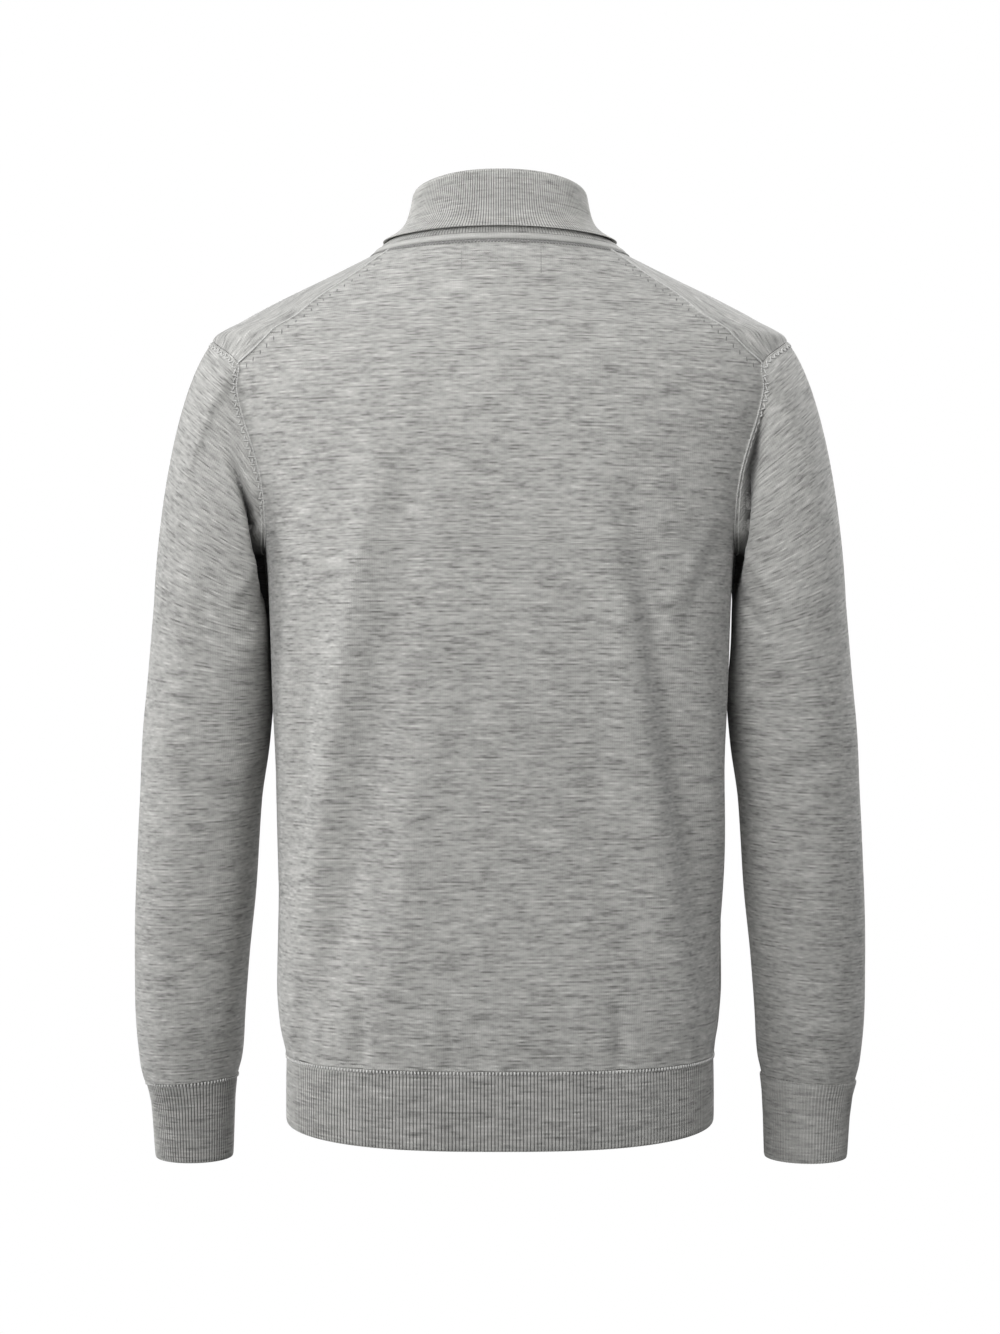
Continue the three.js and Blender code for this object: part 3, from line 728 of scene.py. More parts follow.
def armpit_crease(points, crease):
    """How deep the armpit's crease is at points of the left sleeve"""
    depth = np.zeros(points.shape[:-1])
    for face in (1, -1):
        chosen = crease["face"] == face
        path = np.stack([crease[column][chosen] for column in ("x", "z", "width", "depth")], axis=-1)
        fine = curve_at(path, np.linspace(0, len(path) - 1, 40))
        side = np.sign(points[..., 1] - ARMPIT_MIDDLE) == face
        off = points[side][:, None, [0, 2]] - fine[:, :2]
        off = np.linalg.norm(off, axis=-1) / fine[:, 2]
        depth[side] = (fine[:, 3] * np.exp(-off * off)).max(axis=1)
    return depth


def cuff_gather(turn, z, seed):
    """Small gathers where the sleeve narrows onto the cuff"""
    draw = np.random.default_rng(seed)
    height = np.zeros_like(z)
    up = (z - SLEEVE_BOTTOM) / 13
    for place in np.arange(0, 2 * math.pi, 0.21):
        turn_away = (turn - place - draw.uniform(0, 0.12) + math.pi) % (2 * math.pi) - math.pi
        high = draw.uniform(-0.7, 0.8)
        height += high * np.exp(-((turn_away * 40 / 3.6) ** 2)) * np.exp(-up * up)
    return height


def sleeve_sheet(side):
    rows = np.interp(np.linspace(0, 1, SLEEVE_COLUMNS + 1), SLEEVE_SPREAD["part"], SLEEVE_SPREAD["row"])
    lines, turn = sleeve_lines(rows)
    turns = np.broadcast_to(turn[:, None], lines.shape[:2])
    # Wrap round so that the first and last line, which are one, get the same way out
    padded = np.concatenate([lines[-2:-1], lines, lines[1:2]])
    round_it = padded[2:] - padded[:-2]
    down = np.gradient(lines, axis=1)
    normals = unit(np.cross(down, round_it))
    settled = smooth_share(travelled(lines), 4, 40)
    raised = crease_height(turns, lines[..., 2], SLEEVE_CREASES[side]) * settled
    raised += cuff_gather(turns, lines[..., 2], 5 if side == "left" else 6)
    reached = travelled(lines)
    raised += 0.3 * ridge(reached)
    deep = armpit_crease(lines, ARMPIT_CREASES[side]) * smooth_share(reached, 0, 3.5)
    raised -= deep
    raised[-1] = raised[0]
    lines = lines + normals * raised[..., None]
    up = travelled(lines[:, ::-1])[:, ::-1]
    axis_x = along(SLEEVE, "z", np.maximum(lines[..., 2], SLEEVE_BOTTOM), "x")
    lean = 0.8 * smooth_share(lines[..., 2], -400, -160)
    up = up - lean * (lines[..., 0] - axis_x)
    unrolled = np.unwrap(turn) * 52
    knit = np.stack([np.broadcast_to(unrolled[:, None], up.shape) / WALE, up / COURSE], axis=-1)
    # Painted shade: the knit's colour is darkened in the armpit crease, and on the inner side above where the white
    # shows between sleeve and body
    degrees = np.degrees(turns)
    inner_side_shade = np.exp(-(((degrees - 182) / 33) ** 2)) * smooth_share(-lines[..., 2], 205, 245)
    inner_side_shade *= 1 - smooth_share(-lines[..., 2], 360, 450)
    shade = np.maximum(smooth_share(deep, 2, CREASE_SHADED), inner_side_shade)
    sheet = {"points": lines, "normals": normals, "knit": knit, "shade": shade}
    if side == "right":
        for name in ("points", "normals"):
            sheet[name] = sheet[name] * [-1, 1, 1]
        knit[..., 0] *= -1
    return sheet


# Meshes

def grid_faces(rows, columns, start=0):
    index = start + np.arange(rows * columns).reshape(rows, columns)
    corners = [index[:-1, :-1], index[:-1, 1:], index[1:, 1:], index[1:, :-1]]
    return np.stack(corners, axis=-1).reshape(-1, 4)


def weld(points):
    """For each point the number of the first one in its place, and the points that are left"""
    keys = np.round(points, 3)
    _, first, number = np.unique(keys, axis=0, return_index=True, return_inverse=True)
    return points[first], number.reshape(-1)


def signed_volume(points, faces):
    a, b, c, d = (points[faces[:, k]] for k in range(4))
    return (np.einsum("ij,ij", a, np.cross(b, c)) + np.einsum("ij,ij", a, np.cross(c, d))) / 6


def new_object(name, mesh, material):
    piece = bpy.data.objects.new(name, mesh)
    bpy.context.scene.collection.objects.link(piece)
    mesh.materials.append(material)
    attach(piece, "root")
    return piece


def make_piece(name, points, knit, shade, faces, material):
    """A closed mesh from points with knit coordinates and a shade each. Points in one place become one."""
    kept, number = weld(points)
    welded = number[faces]
    if signed_volume(kept, welded) < 0:
        faces, welded = faces[:, ::-1], welded[:, ::-1]
    mesh = bpy.data.meshes.new(name)
    mesh.vertices.add(len(kept))
    mesh.vertices.foreach_set("co", (kept * MM).astype(np.float32).ravel())
    mesh.loops.add(welded.size)
    mesh.loops.foreach_set("vertex_index", welded.astype(np.int32).ravel())
    mesh.polygons.add(len(welded))
    mesh.polygons.foreach_set("loop_start", np.arange(0, welded.size, 4, dtype=np.int32))
    mesh.polygons.foreach_set("loop_total", np.full(len(welded), 4, np.int32))
    mesh.polygons.foreach_set("use_smooth", np.ones(len(welded), bool))
    knit_map = mesh.uv_layers.new(name="knit")
    knit_map.data.foreach_set("uv", knit[faces].astype(np.float32).ravel())
    # The shade attribute is painted shade: the knit material darkens its colour by it
    shade_of = np.zeros(len(kept), np.float32)
    shade_of[number] = shade
    mesh.attributes.new("shade", "FLOAT", "POINT").data.foreach_set("value", shade_of)
    mesh.update(calc_edges=True)
    mesh.validate()
    mesh.set_sharp_from_angle(angle=math.radians(60))
    return new_object(name, mesh, material)


def cloth_piece(name, sheets, wall, material, knit_start=(0, 0)):
    """Grids of cloth, welded where they meet, given a wall inwards and closed at their edges"""
    outer, inner, knit, faces, shaded = [], [], [], [], []
    start = 0
    for sheet in sheets:
        rows, columns = sheet["points"].shape[:2]
        faces.append(grid_faces(rows, columns, start))
        start += rows * columns
        outer.append(sheet["points"].reshape(-1, 3))
        inner.append((sheet["points"] - wall * sheet["normals"]).reshape(-1, 3))
        knit.append(sheet["knit"].reshape(-1, 2) + knit_start)
        shaded.append(sheet.get("shade", np.zeros((rows, columns))).ravel())
    outer, inner, knit, faces, shaded = (np.concatenate(part) for part in (outer, inner, knit, faces, shaded))
    count = len(outer)
    _, number = weld(outer)
    edges = np.stack([faces, np.roll(faces, -1, axis=1)], axis=-1).reshape(-1, 2)
    ends = number[edges].astype(np.int64)
    code, reverse = ends[:, 0] * count + ends[:, 1], ends[:, 1] * count + ends[:, 0]
    a, b = edges[~np.isin(code, reverse)].T
    rim = np.stack([b, a, a + count, b + count], axis=-1)
    all_faces = np.concatenate([faces, faces[:, ::-1] + count, rim])
    points = np.concatenate([outer, inner])
    # The inner wall gets a light painted shade
    shade = np.concatenate([shaded, np.full(count, 0.35)])
    return make_piece(name, points, np.concatenate([knit, knit]), shade, all_faces, material)


def ring_piece(name, rings, knit_rows, shades, ribs, material):
    """A closed wall through rings that follow each other round its section"""
    points = np.array(rings + rings[:1])
    points = np.concatenate([points, points[:, :1]], axis=1)
    rows, columns = points.shape[:2]
    heights = np.append(knit_rows, 2 * knit_rows[-1] - knit_rows[-2]) / COURSE
    wales = np.linspace(0, ribs, columns)
    knit = np.stack(np.meshgrid(wales, heights), axis=-1).reshape(-1, 2)
    shade = np.array(shades + shades[:1])
    shade = np.concatenate([shade, shade[:, :1]], axis=1).ravel()
    return make_piece(name, points.reshape(-1, 3), knit, shade, grid_faces(rows, columns), material)


# Ribs

def even_angles(point_at, count):
    """Angles spread evenly by length round a closed outline"""
    fine = np.linspace(0, 2 * math.pi, 2000)
    return even_parts(point_at(fine), count)[:-1] * 2 * math.pi


def level_normal(point_at, angle):
    tangent = point_at(angle + 0.01) - point_at(angle - 0.01)
    return unit(np.stack([tangent[..., 1], -tangent[..., 0], 0 * angle], axis=-1))


def rib_phase(count):
    return np.arange(count * RIB_COLUMNS) / RIB_COLUMNS


def rib_relief(count):
    """How deep each point of a rib lies under its crest, from 0 to 1: round crests and narrow furrows"""
    return 1 - np.abs(np.cos(np.pi * rib_phase(count))) ** 0.7


def off_ring(point_at, angles, distance):
    return point_at(angles) + level_normal(point_at, angles) * np.broadcast_to(distance, angles.shape)[:, None]


# The section of a rib band: part of its height, how far out of its outline, and how much of the ribs it has, in depth
# and in painted shade
BAND_SECTION = table("down off relief", [
    (0, -0.5, 0.5),
    (0.03, -0.1, 0.85),
    (0.09, 0.1, 1),
    (0.18, 0.2, 1),
    (0.28, 0.25, 1),
    (0.39, 0.3, 1),
    (0.5, 0.3, 1),
    (0.61, 0.3, 1),
    (0.72, 0.25, 1),
    (0.83, 0.2, 1),
    (0.92, 0.1, 1),
    (0.97, -0.05, 1),
    (0.993, -0.45, 0.9),
    (1, -1.1, 0.6),
    (0.993, -1.75, 0.5),
    (0.96, -2.15, 0.5),
    (0.8, -2.2, 0.5),
    (0.5, -2.2, 0.5),
    (0.2, -2.2, 0.5),
    (0.02, -2.2, 0.5),
    (0, -1.8, 0.3),
])


def rib_band(name, outline_at, height, ribs, material):
    """A rib band, where outline_at gives its outline at a part of its height"""
    angles = even_angles(lambda angle: outline_at(angle, 0.5), ribs * RIB_COLUMNS)
    relief = rib_relief(ribs)
    rings, shades = [], []
    knit_rows = []
    for down, off, share in zip(*BAND_SECTION.values()):
        inside = off < -1.5
        depth = RIB_DEPTH * 1.15 * share * (relief - 1 if inside else relief)
        rings.append(off_ring(lambda angle: outline_at(angle, down), angles, off - depth))
        # Painted shade, deepest in the furrows between the ribs
        shades.append(relief * share)
        knit_rows.append(height * (2 - down if inside else down))
    return ring_piece(name, rings, np.array(knit_rows), shades, ribs, material)


def hem_outline(angle, down):
    section = {key: lerp(HEM_TOP[key], HEM_BOTTOM[key], down) for key in HEM_TOP}
    dip = HEM_DIP * np.abs(np.sin(angle)) ** 1.5 * down
    z = section["z"] - SEAM_GAP / 2 * (1 - down) - dip
    return outline_point(angle, z, section)


def cuff_outline(angle, down):
    z = lerp(CUFF["z"][0], CUFF["z"][-1], down)
    x, y, half, depth = (along(CUFF, "z", z, column) for column in ("x", "y", "half", "depth"))
    tilt = (CUFF_TILT * np.cos(angle) + SEAM_GAP / 2) * smooth_share(1 - down, 0.5, 1)
    return np.stack(np.broadcast_arrays(x + half * np.cos(angle), y + depth * np.sin(angle), z - tilt), axis=-1)


# The collar

def neck_point(angle, rise):
    """The outside of the collar's stand, from 0 at the linking line to 1 at the collar's top"""
    foot = body_point(angle, level_at(angle, NECK_LINE))
    top = outline_point(angle, level_at(angle, COLLAR_TOP), NECK_TOP)
    inward = along(NECK_PROFILE, "rise", rise, "inward")
    inward = np.stack(np.broadcast_arrays(inward, inward, rise), axis=-1)
    return lerp(foot, top, inward)


def edge_rise(angle):
    """The part of the neck's height that the collar's free edge has at an angle"""
    foot = level_at(angle, NECK_LINE)
    return (level_at(angle, COLLAR_EDGE) - foot) / (level_at(angle, COLLAR_TOP) - foot)


def collar_waver(angle):
    """How the soft fall stands off unevenly round the neck"""
    return 0.35 * np.sin(2 * angle + 0.6) + 0.3 * np.sin(5 * angle + 1.9) + 0.2 * np.sin(9 * angle)


def collar_rings():
    """The collar's section: up the fall, over the roll, down inside, up the stand and down inside the fall"""
    relief = rib_relief(COLLAR_RIBS)

    def fall_at(drop):
        return lambda angle: neck_point(angle, lerp(FALL_TOP_RISE, edge_rise(angle), drop))

    def stand_at(rise):
        return lambda angle: neck_point(angle, rise + 0 * angle)

    angles = even_angles(fall_at(0.5), COLLAR_RIBS * RIB_COLUMNS)
    waver = collar_waver(angles)
    rings, shades, knit_rows = [], [], []
    length = 0.0

    def add(point_at, off, share, sunk_shade=0.0):
        nonlocal length
        inside = share < 0
        depth = RIB_DEPTH * abs(share) * (relief - 1 if inside else relief)
        ring = off_ring(point_at, angles, off - depth)
        if rings:
            length += float(length_of(ring - rings[-1]).mean())
        rings.append(ring)
        # Painted shade: darker in the rib furrows, and more on the stand and the fall's inside, under the fall
        shades.append(np.clip(relief * abs(share) + sunk_shade, 0, 1))
        knit_rows.append(length)

    top_off, edge_off = FALL["off"][0], FALL["off"][-1]
    for step in (-1.9, -1.2, -0.5):
        add(fall_at(1), edge_off + step, 0.6)
    for drop in np.linspace(0.985, 0, 15):
        add(fall_at(drop), along(FALL, "drop", drop, "off") + waver * drop, 1)
    middle, half = (top_off - JERSEY_WALL) / 2, (top_off + JERSEY_WALL) / 2
    for swing in np.radians((22, 45, 68, 90, 112, 135, 158)):
        rise = FALL_TOP_RISE + (1 - FALL_TOP_RISE) * math.sin(swing)
        add(stand_at(rise), middle + half * math.cos(swing), 1 - 0.5 * swing / math.pi)
    for rise in np.linspace(FALL_TOP_RISE, STAND_FOOT, 7):
        add(stand_at(rise), -JERSEY_WALL, -0.4)
    for rise in np.linspace(STAND_FOOT, 0.42, 8):
        add(stand_at(rise), 0.0, 0.7, 0.1)
    add(stand_at(0.65), 0.0, 0.3, 0.3)
    add(stand_at(0.88), 0.0, 0.3, 0.3)
    add(stand_at(0.94), 0.6, 0.1, 0.3)
    for drop in (0, 0.35, 0.7, 0.9, 0.985):
        add(fall_at(drop), along(FALL, "drop", drop, "off") - RIB_WALL + waver * drop, 0.1, 0.3)
    return rings, shades, np.array(knit_rows)


def neck_band_rings():
    """The smooth band round the foot of the stand"""
    profile = table("rise off", [
        (0.004, -1.4),
        (0.004, 0.3),
        (0.014, 1.05),
        (0.031, 1.5),
        (0.052, 1.6),
        (0.073, 1.3),
        (0.09, 0.85),
        (BAND_TOP, 0.2),
        (BAND_TOP, -1.4),
    ])
    angles = even_angles(lambda angle: neck_point(angle, 0 * angle), 480)
    rings = [off_ring(lambda angle: neck_point(angle, rise + 0 * angle), angles, off)
             for rise, off in zip(*profile.values())]
    shades = [np.zeros(len(angles)) for _ in rings]
    return rings, shades, profile["rise"] * 55


# Stitches

def modelled_stitch(length, width, height):
    """The points and triangles of one stitch, which lies along X and has its top towards Z"""
    bpy.ops.object.select_all(action="DESELECT")
    bpy.ops.mesh.primitive_uv_sphere_add(segments=6, ring_count=4, radius=0.5)
    stitch = bpy.context.active_object
    bpy.ops.object.mode_set(mode="EDIT")
    bpy.ops.mesh.select_all(action="SELECT")
    bpy.ops.transform.rotate(value=math.pi / 2, orient_axis="Y", center_override=(0, 0, 0))
    bpy.ops.transform.resize(value=(length, width, height), center_override=(0, 0, 0))
    bpy.ops.mesh.quads_convert_to_tris()
    bpy.ops.object.mode_set(mode="OBJECT")
    points = np.array([vertex.co for vertex in stitch.data.vertices])
    faces = np.array([face.vertices for face in stitch.data.polygons])
    bpy.data.objects.remove(stitch)
    return points, faces


def sewn_piece(name, stitch, places, material):
    """A piece with a copy of a stitch at each place, turned to lie along its way and to face out"""
    points, faces = stitch
    centres, along, outward = places
    along = unit(along - outward * np.sum(along * outward, axis=-1, keepdims=True))
    turns = np.stack([along, np.cross(outward, along), outward], axis=1)
    copies = centres[:, None] + points @ turns
    firsts = np.arange(len(centres)) * len(points)
    all_faces = (faces + firsts[:, None, None]).reshape(-1, 3)
    mesh = bpy.data.meshes.new(name)
    mesh.from_pydata((copies.reshape(-1, 3) * MM).tolist(), [], all_faces.tolist())
    mesh.polygons.foreach_set("use_smooth", np.ones(len(all_faces), bool))
    mesh.update()
    return new_object(name, mesh, material)


def mirrored(places):
    return [part * [-1, 1, 1] for part in places]


def joined(*lines):
    return [np.concatenate(parts) for parts in zip(*lines)]


def rib_loop_places(outline_at, ribs, down, off):
    """A loop at the head of each rib, where the band begins"""
    angles = even_angles(lambda angle: outline_at(angle, 0.5), ribs * RIB_COLUMNS)[::RIB_COLUMNS]
    outward = level_normal(lambda angle: outline_at(angle, down), angles)
    centres = outline_at(angles, down) + outward * off
    return centres, np.broadcast_to([0.0, 0.0, 1.0], centres.shape), outward


def neck_zigzag_places(pitch):
    """Slanted stitches that link the neck band to the panels"""
    fine = np.linspace(0, 2 * math.pi, 1500)
    edge = neck_point(fine, 0 * fine)
    lengths = travelled(edge)
    count = round(lengths[-1] / pitch) * 2
    angles = np.interp((np.arange(count) + 0.5) / count * lengths[-1], lengths, fine)
    centres = neck_point(angles, 0 * angles)
    outward = body_normal(centres)
    forward = unit(neck_point(angles + 0.01, 0 * angles) - neck_point(angles - 0.01, 0 * angles))
    upward = np.cross(forward, outward)
    upward *= np.sign(upward[:, 2:])
    slant = np.where(np.arange(count) % 2, 1.0, -1.0)[:, None]
    return centres + outward * 0.7 - upward * 1.3, forward + upward * slant, outward


def beside(angle, z, way):
    """The place on the body that a small step from another leads to"""
    here = body_point(angle, z)
    by_angle = (body_point(angle + 0.01, z) - here) / 0.01
    by_z = body_point(angle, z + 1) - here
    aa, zz, az = ((p * q).sum(axis=-1) for p, q in ((by_angle, by_angle), (by_z, by_z), (by_angle, by_z)))
    wa, wz = (way * by_angle).sum(axis=-1), (way * by_z).sum(axis=-1)
    scale = aa * zz - az * az
    return angle + (wa * zz - wz * az) / scale, z + (wz * aa - wa * az) / scale


def body_line_places(place_at, first, last, pitch, aside, raised, slant=0.0):
    """Places every so often along a seam of the body, aside of it on the back panel"""
    fine = np.linspace(first, last, FINE)
    lengths = travelled(body_point(*place_at(fine)))
    count = int(lengths[-1] / pitch)
    settings = np.interp((np.arange(count) + 0.5) * pitch, lengths, fine)
    step = (last - first) / FINE
    _, normals = body_cloth(*place_at(settings))
    along = unit(body_point(*place_at(settings + step)) - body_point(*place_at(settings - step)))
    sideways = np.cross(normals, along)
    points, normals = body_cloth(*beside(*place_at(settings), sideways * aside))
    return points + normals * raised, along + sideways * slant, normals


def tack_places(x, top, bottom, pitch):
    """An upright row of stitches under the neck at the back"""
    z = np.arange(top, bottom, -pitch)
    angle = body_angle(abs(x) + 0 * z, z)
    points, normals = body_cloth(angle, z)
    points = points * [np.sign(x), 1, 1] + normals * [np.sign(x), 1, 1] * 0.2
    return points, np.broadcast_to([0.0, 0.0, 1.0], points.shape), normals * [np.sign(x), 1, 1]


def sleeve_places(sheet, along_edge, distance):
    """Points of a sleeve and the ways out, by the length along the armhole and the distance from it"""
    points, normals = (sheet[name][:, :NEAR_ROWS] for name in ("points", "normals"))
    edge, lengths = travelled(points[:, 0]), travelled(points)
    found = []
    for value, off in zip(along_edge, distance):
        line = np.interp(value, edge, np.arange(len(edge)))
        low = min(int(line), len(edge) - 2)
        ends = [[np.interp(off, lengths[k], grid[k, :, axis]) for grid in (points, normals) for axis in range(3)]
                for k in (low, low + 1)]
        found.append(lerp(np.array(ends[0]), np.array(ends[1]), line - low))
    found = np.array(found)
    return found[:, :3], unit(found[:, 3:])


def armhole_zigzag_places(sheet):
    """The zigzag of loops on the sleeve beside the armhole"""
    length = travelled(sheet["points"][:, 0])[-1]
    count = round(length / ZIGZAG_PITCH) * 2
    places = np.linspace(0, length, count + 1)
    distance = np.where(np.arange(count + 1) % 2, ZIGZAG_FAR, ZIGZAG_NEAR)
    points, normals = sleeve_places(sheet, places, distance)
    return ((points[1:] + points[:-1]) / 2 + unit(normals[1:] + normals[:-1]) * 0.35,
            points[1:] - points[:-1], unit(normals[1:] + normals[:-1]))


NEAR_ROWS = 24
ZIGZAG_PITCH = 6.5
ZIGZAG_NEAR = 1.6
ZIGZAG_FAR = 5.2


# Materials

class Recipe:
    """Builds a material's nodes"""

    def __init__(self, name):
        self.material = bpy.data.materials.new(name)
        self.material.use_nodes = True
        self.tree = self.material.node_tree
        self.tree.nodes.clear()

    def node(self, kind, inputs=(), **settings):
        made = self.tree.nodes.new("ShaderNode" + kind)
        for name, value in settings.items():
            setattr(made, name, value)
        for socket, value in dict(inputs).items():
            if isinstance(value, bpy.types.NodeSocket):
                self.tree.links.new(value, made.inputs[socket])
            else:
                made.inputs[socket].default_value = value
        return made

    def math(self, operation, a, b=0.0):
        return self.node("Math", {0: a, 1: b}, operation=operation).outputs[0]

    def vector(self, x, y, z=0.0):
        return self.node("CombineXYZ", {0: x, 1: y, 2: z}).outputs[0]

    def noise(self, vector, scale, detail=2.0, roughness=0.5):
        inputs = {"Vector": vector, "Scale": scale, "Detail": detail, "Roughness": roughness}
        return self.node("TexNoise", inputs, noise_dimensions="2D").outputs["Fac"]

    def between(self, value, low, high, to_low, to_high):
        inputs = {"Value": value, "From Min": low, "From Max": high, "To Min": to_low, "To Max": to_high}
        return self.node("MapRange", inputs, clamp=True).outputs["Result"]


def knit_material(name, base, wale=WALE, relief=0.3, furrow=0.35, streaks=1.0, tint=(1.0, 0.994, 0.958)):
    """Melange knit: yarn whose grey changes along each course, in stitches raised by bump, with painted shade between
    the stitches and where the shade attribute marks furrows, creases and the inside
    """
    recipe = Recipe(name)
    knit = recipe.node("UVMap", uv_map="knit").outputs["UV"]
    split = recipe.node("SeparateXYZ", {0: knit}).outputs
    wales, courses = split[0], split[1]
    from_centre = recipe.math("ABSOLUTE", recipe.math("SUBTRACT", recipe.math("FRACT", wales), 0.5))
    leaned = recipe.math("ADD", courses, from_centre)
    course = recipe.math("FLOOR", leaned)
    within = recipe.math("FRACT", leaned)
    run = recipe.math("MULTIPLY", wales, wale)  # millimetres along the course

    # The yarn's grey: long streaks, shorter ones, flecks and a soft unevenness over some courses
    long_streak = recipe.noise(recipe.vector(recipe.math("MULTIPLY", run, 1 / 24), recipe.math("MULTIPLY", course, 0.83)), 1.0, 2.0, 0.6)
    short_streak = recipe.noise(recipe.vector(recipe.math("MULTIPLY", run, 1 / 7), recipe.math("MULTIPLY_ADD", course, 1.37)), 1.0, 1.0)
    fleck = recipe.noise(recipe.vector(recipe.math("MULTIPLY", run, 0.8), recipe.math("MULTIPLY", leaned, 1.9)), 1.0, 2.0, 0.7)
    cloud = recipe.noise(recipe.vector(recipe.math("MULTIPLY", run, 1 / 60), recipe.math("MULTIPLY", courses, 1 / 9)), 1.0, 2.0)
    grey = recipe.math("MULTIPLY", recipe.math("SUBTRACT", long_streak, 0.5), 1.15 * streaks)
    grey = recipe.math("ADD", grey, recipe.math("MULTIPLY", recipe.math("SUBTRACT", short_streak, 0.5), 0.6 * streaks))
    grey = recipe.math("ADD", grey, recipe.math("MULTIPLY", recipe.math("SUBTRACT", fleck, 0.5), 0.35 * streaks))
    grey = recipe.math("ADD", grey, recipe.math("MULTIPLY", recipe.math("SUBTRACT", cloud, 0.5), 0.3 * streaks))
    tone = recipe.node("ValToRGB", {0: recipe.math("ADD", grey, 0.5)})
    ramp = tone.color_ramp
    ramp.elements[0].position = 0.12
    ramp.elements[1].position = 0.9
    stops = ((0.12, 0.46), (0.36, 0.8), (0.55, 1.02), (0.72, 1.18), (0.9, 1.44))
    for _ in range(len(stops) - 2):
        ramp.elements.new(0.5)
    for element, (place, strength) in zip(ramp.elements, stops):
        element.position = place
        element.color = (*(base * strength * share for share in tint), 1)

    # Painted shadow between columns of stitches, and painted shade in the furrows of a rib, in creases or on the
    # inside, where the shade attribute marks them
    legs = recipe.math("ABSOLUTE", recipe.math("SINE", recipe.math("MULTIPLY", wales, 2 * math.pi)))
    column = recipe.math("ABSOLUTE", recipe.math("SINE", recipe.math("MULTIPLY", wales, math.pi)))
    rounded = recipe.math("ADD", recipe.math("MULTIPLY", legs, 0.5), recipe.math("MULTIPLY", column, 0.5))
    loop = recipe.math("SINE", recipe.math("MULTIPLY", within, math.pi))
    stitch = recipe.math("MULTIPLY", rounded, recipe.math("MULTIPLY_ADD", loop, 0.35))
    stitch_height = recipe.math("MULTIPLY", rounded, recipe.math("ADD", recipe.math("MULTIPLY", loop, 0.4), 0.6))
    hollow_shade = recipe.between(stitch_height, 0.0, 0.5, 0.86, 1.0)
    shade = recipe.node("Attribute", attribute_name="shade").outputs["Fac"]
    sunk_shade = recipe.between(shade, 0.25, 1.0, 1.0, 1.0 - furrow)
    dark = recipe.math("MULTIPLY", hollow_shade, sunk_shade)
    colour = recipe.node("Mix", {0: 1.0, 6: tone.outputs["Color"], 7: recipe.vector(dark, dark, dark)},
                         data_type="RGBA", blend_type="MULTIPLY").outputs[2]

    fibre = recipe.noise(recipe.vector(recipe.math("MULTIPLY", run, 4.0), recipe.math("MULTIPLY", courses, 5.0)), 1.0, 3.0, 0.7)
    height = recipe.math("ADD", stitch_height, recipe.math("MULTIPLY", fibre, 0.35))
    bump = recipe.node("Bump", {"Strength": 0.8, "Distance": relief * MM, "Height": height})
    shader = recipe.node("BsdfPrincipled", {
        "Base Color": colour,
        "Normal": bump.outputs["Normal"],
        "Roughness": 0.92,
        "Specular IOR Level": 0.25,
        "Sheen Weight": 0.3,
        "Sheen Roughness": 0.45,
    })
    recipe.node("OutputMaterial", {"Surface": shader.outputs[0]})
    return recipe.material


def yarn_material(name, base):
    """Thread of the seams: the same yarn, with fine fibres; lighter copies of it are painted highlight on raised
    stitches, darker ones painted shade
    """
    recipe = Recipe(name)
    place = recipe.node("TexCoord").outputs["Object"]
    inputs = {"Vector": place, "Scale": 900.0, "Detail": 3.0, "Roughness": 0.6}
    fibre = recipe.node("TexNoise", inputs).outputs["Fac"]
    tone = recipe.node("ValToRGB", {0: fibre})
    for element, strength in zip(tone.color_ramp.elements, (0.72, 1.18)):
        element.color = (base * strength, base * strength, base * strength * 0.975, 1)
    tone.color_ramp.elements[0].position = 0.3
    tone.color_ramp.elements[1].position = 0.7
    bump = recipe.node("Bump", {"Strength": 0.5, "Distance": 0.2 * MM, "Height": fibre})
    shader = recipe.node("BsdfPrincipled", {
        "Base Color": tone.outputs["Color"],
        "Normal": bump.outputs["Normal"],
        "Roughness": 0.9,
        "Specular IOR Level": 0.25,
        "Sheen Weight": 0.3,
        "Sheen Roughness": 0.45,
    })
    recipe.node("OutputMaterial", {"Surface": shader.outputs[0]})
    return recipe.material


# The stage

HORIZON = 667  # pixels from the top of the photograph to the camera's level
PIXEL = 0.785  # millimetres for each pixel of the photograph in the plane of the side seams
CAMERA_DISTANCE = 2000
CAMERA_Z = -329.7
PHOTO_HEIGHT = 1334
SENSOR = 36
FLOOR_Z = -1420


def make_camera():
    data = bpy.data.cameras.new("camera")
    data.sensor_width = SENSOR
    data.lens = SENSOR * CAMERA_DISTANCE / (PHOTO_HEIGHT * PIXEL)
    camera = bpy.data.objects.new("camera", data)
    bpy.context.scene.collection.objects.link(camera)
    camera.location = (0, CAMERA_DISTANCE * MM, CAMERA_Z * MM)
    camera.rotation_euler = (math.pi / 2, 0, math.pi)
    bpy.context.scene.camera = camera


def area_light(name, place, target, size, power):
    data = bpy.data.lights.new(name, "AREA")
    data.shape = "DISK"
    data.size = size
    data.energy = power
    light = bpy.data.objects.new(name, data)
    bpy.context.scene.collection.objects.link(light)
    light.location = place
    way = np.array(target) - np.array(place)
    light.rotation_euler = (math.acos(-way[2] / np.linalg.norm(way)), 0, math.atan2(way[1], way[0]) - math.pi / 2)


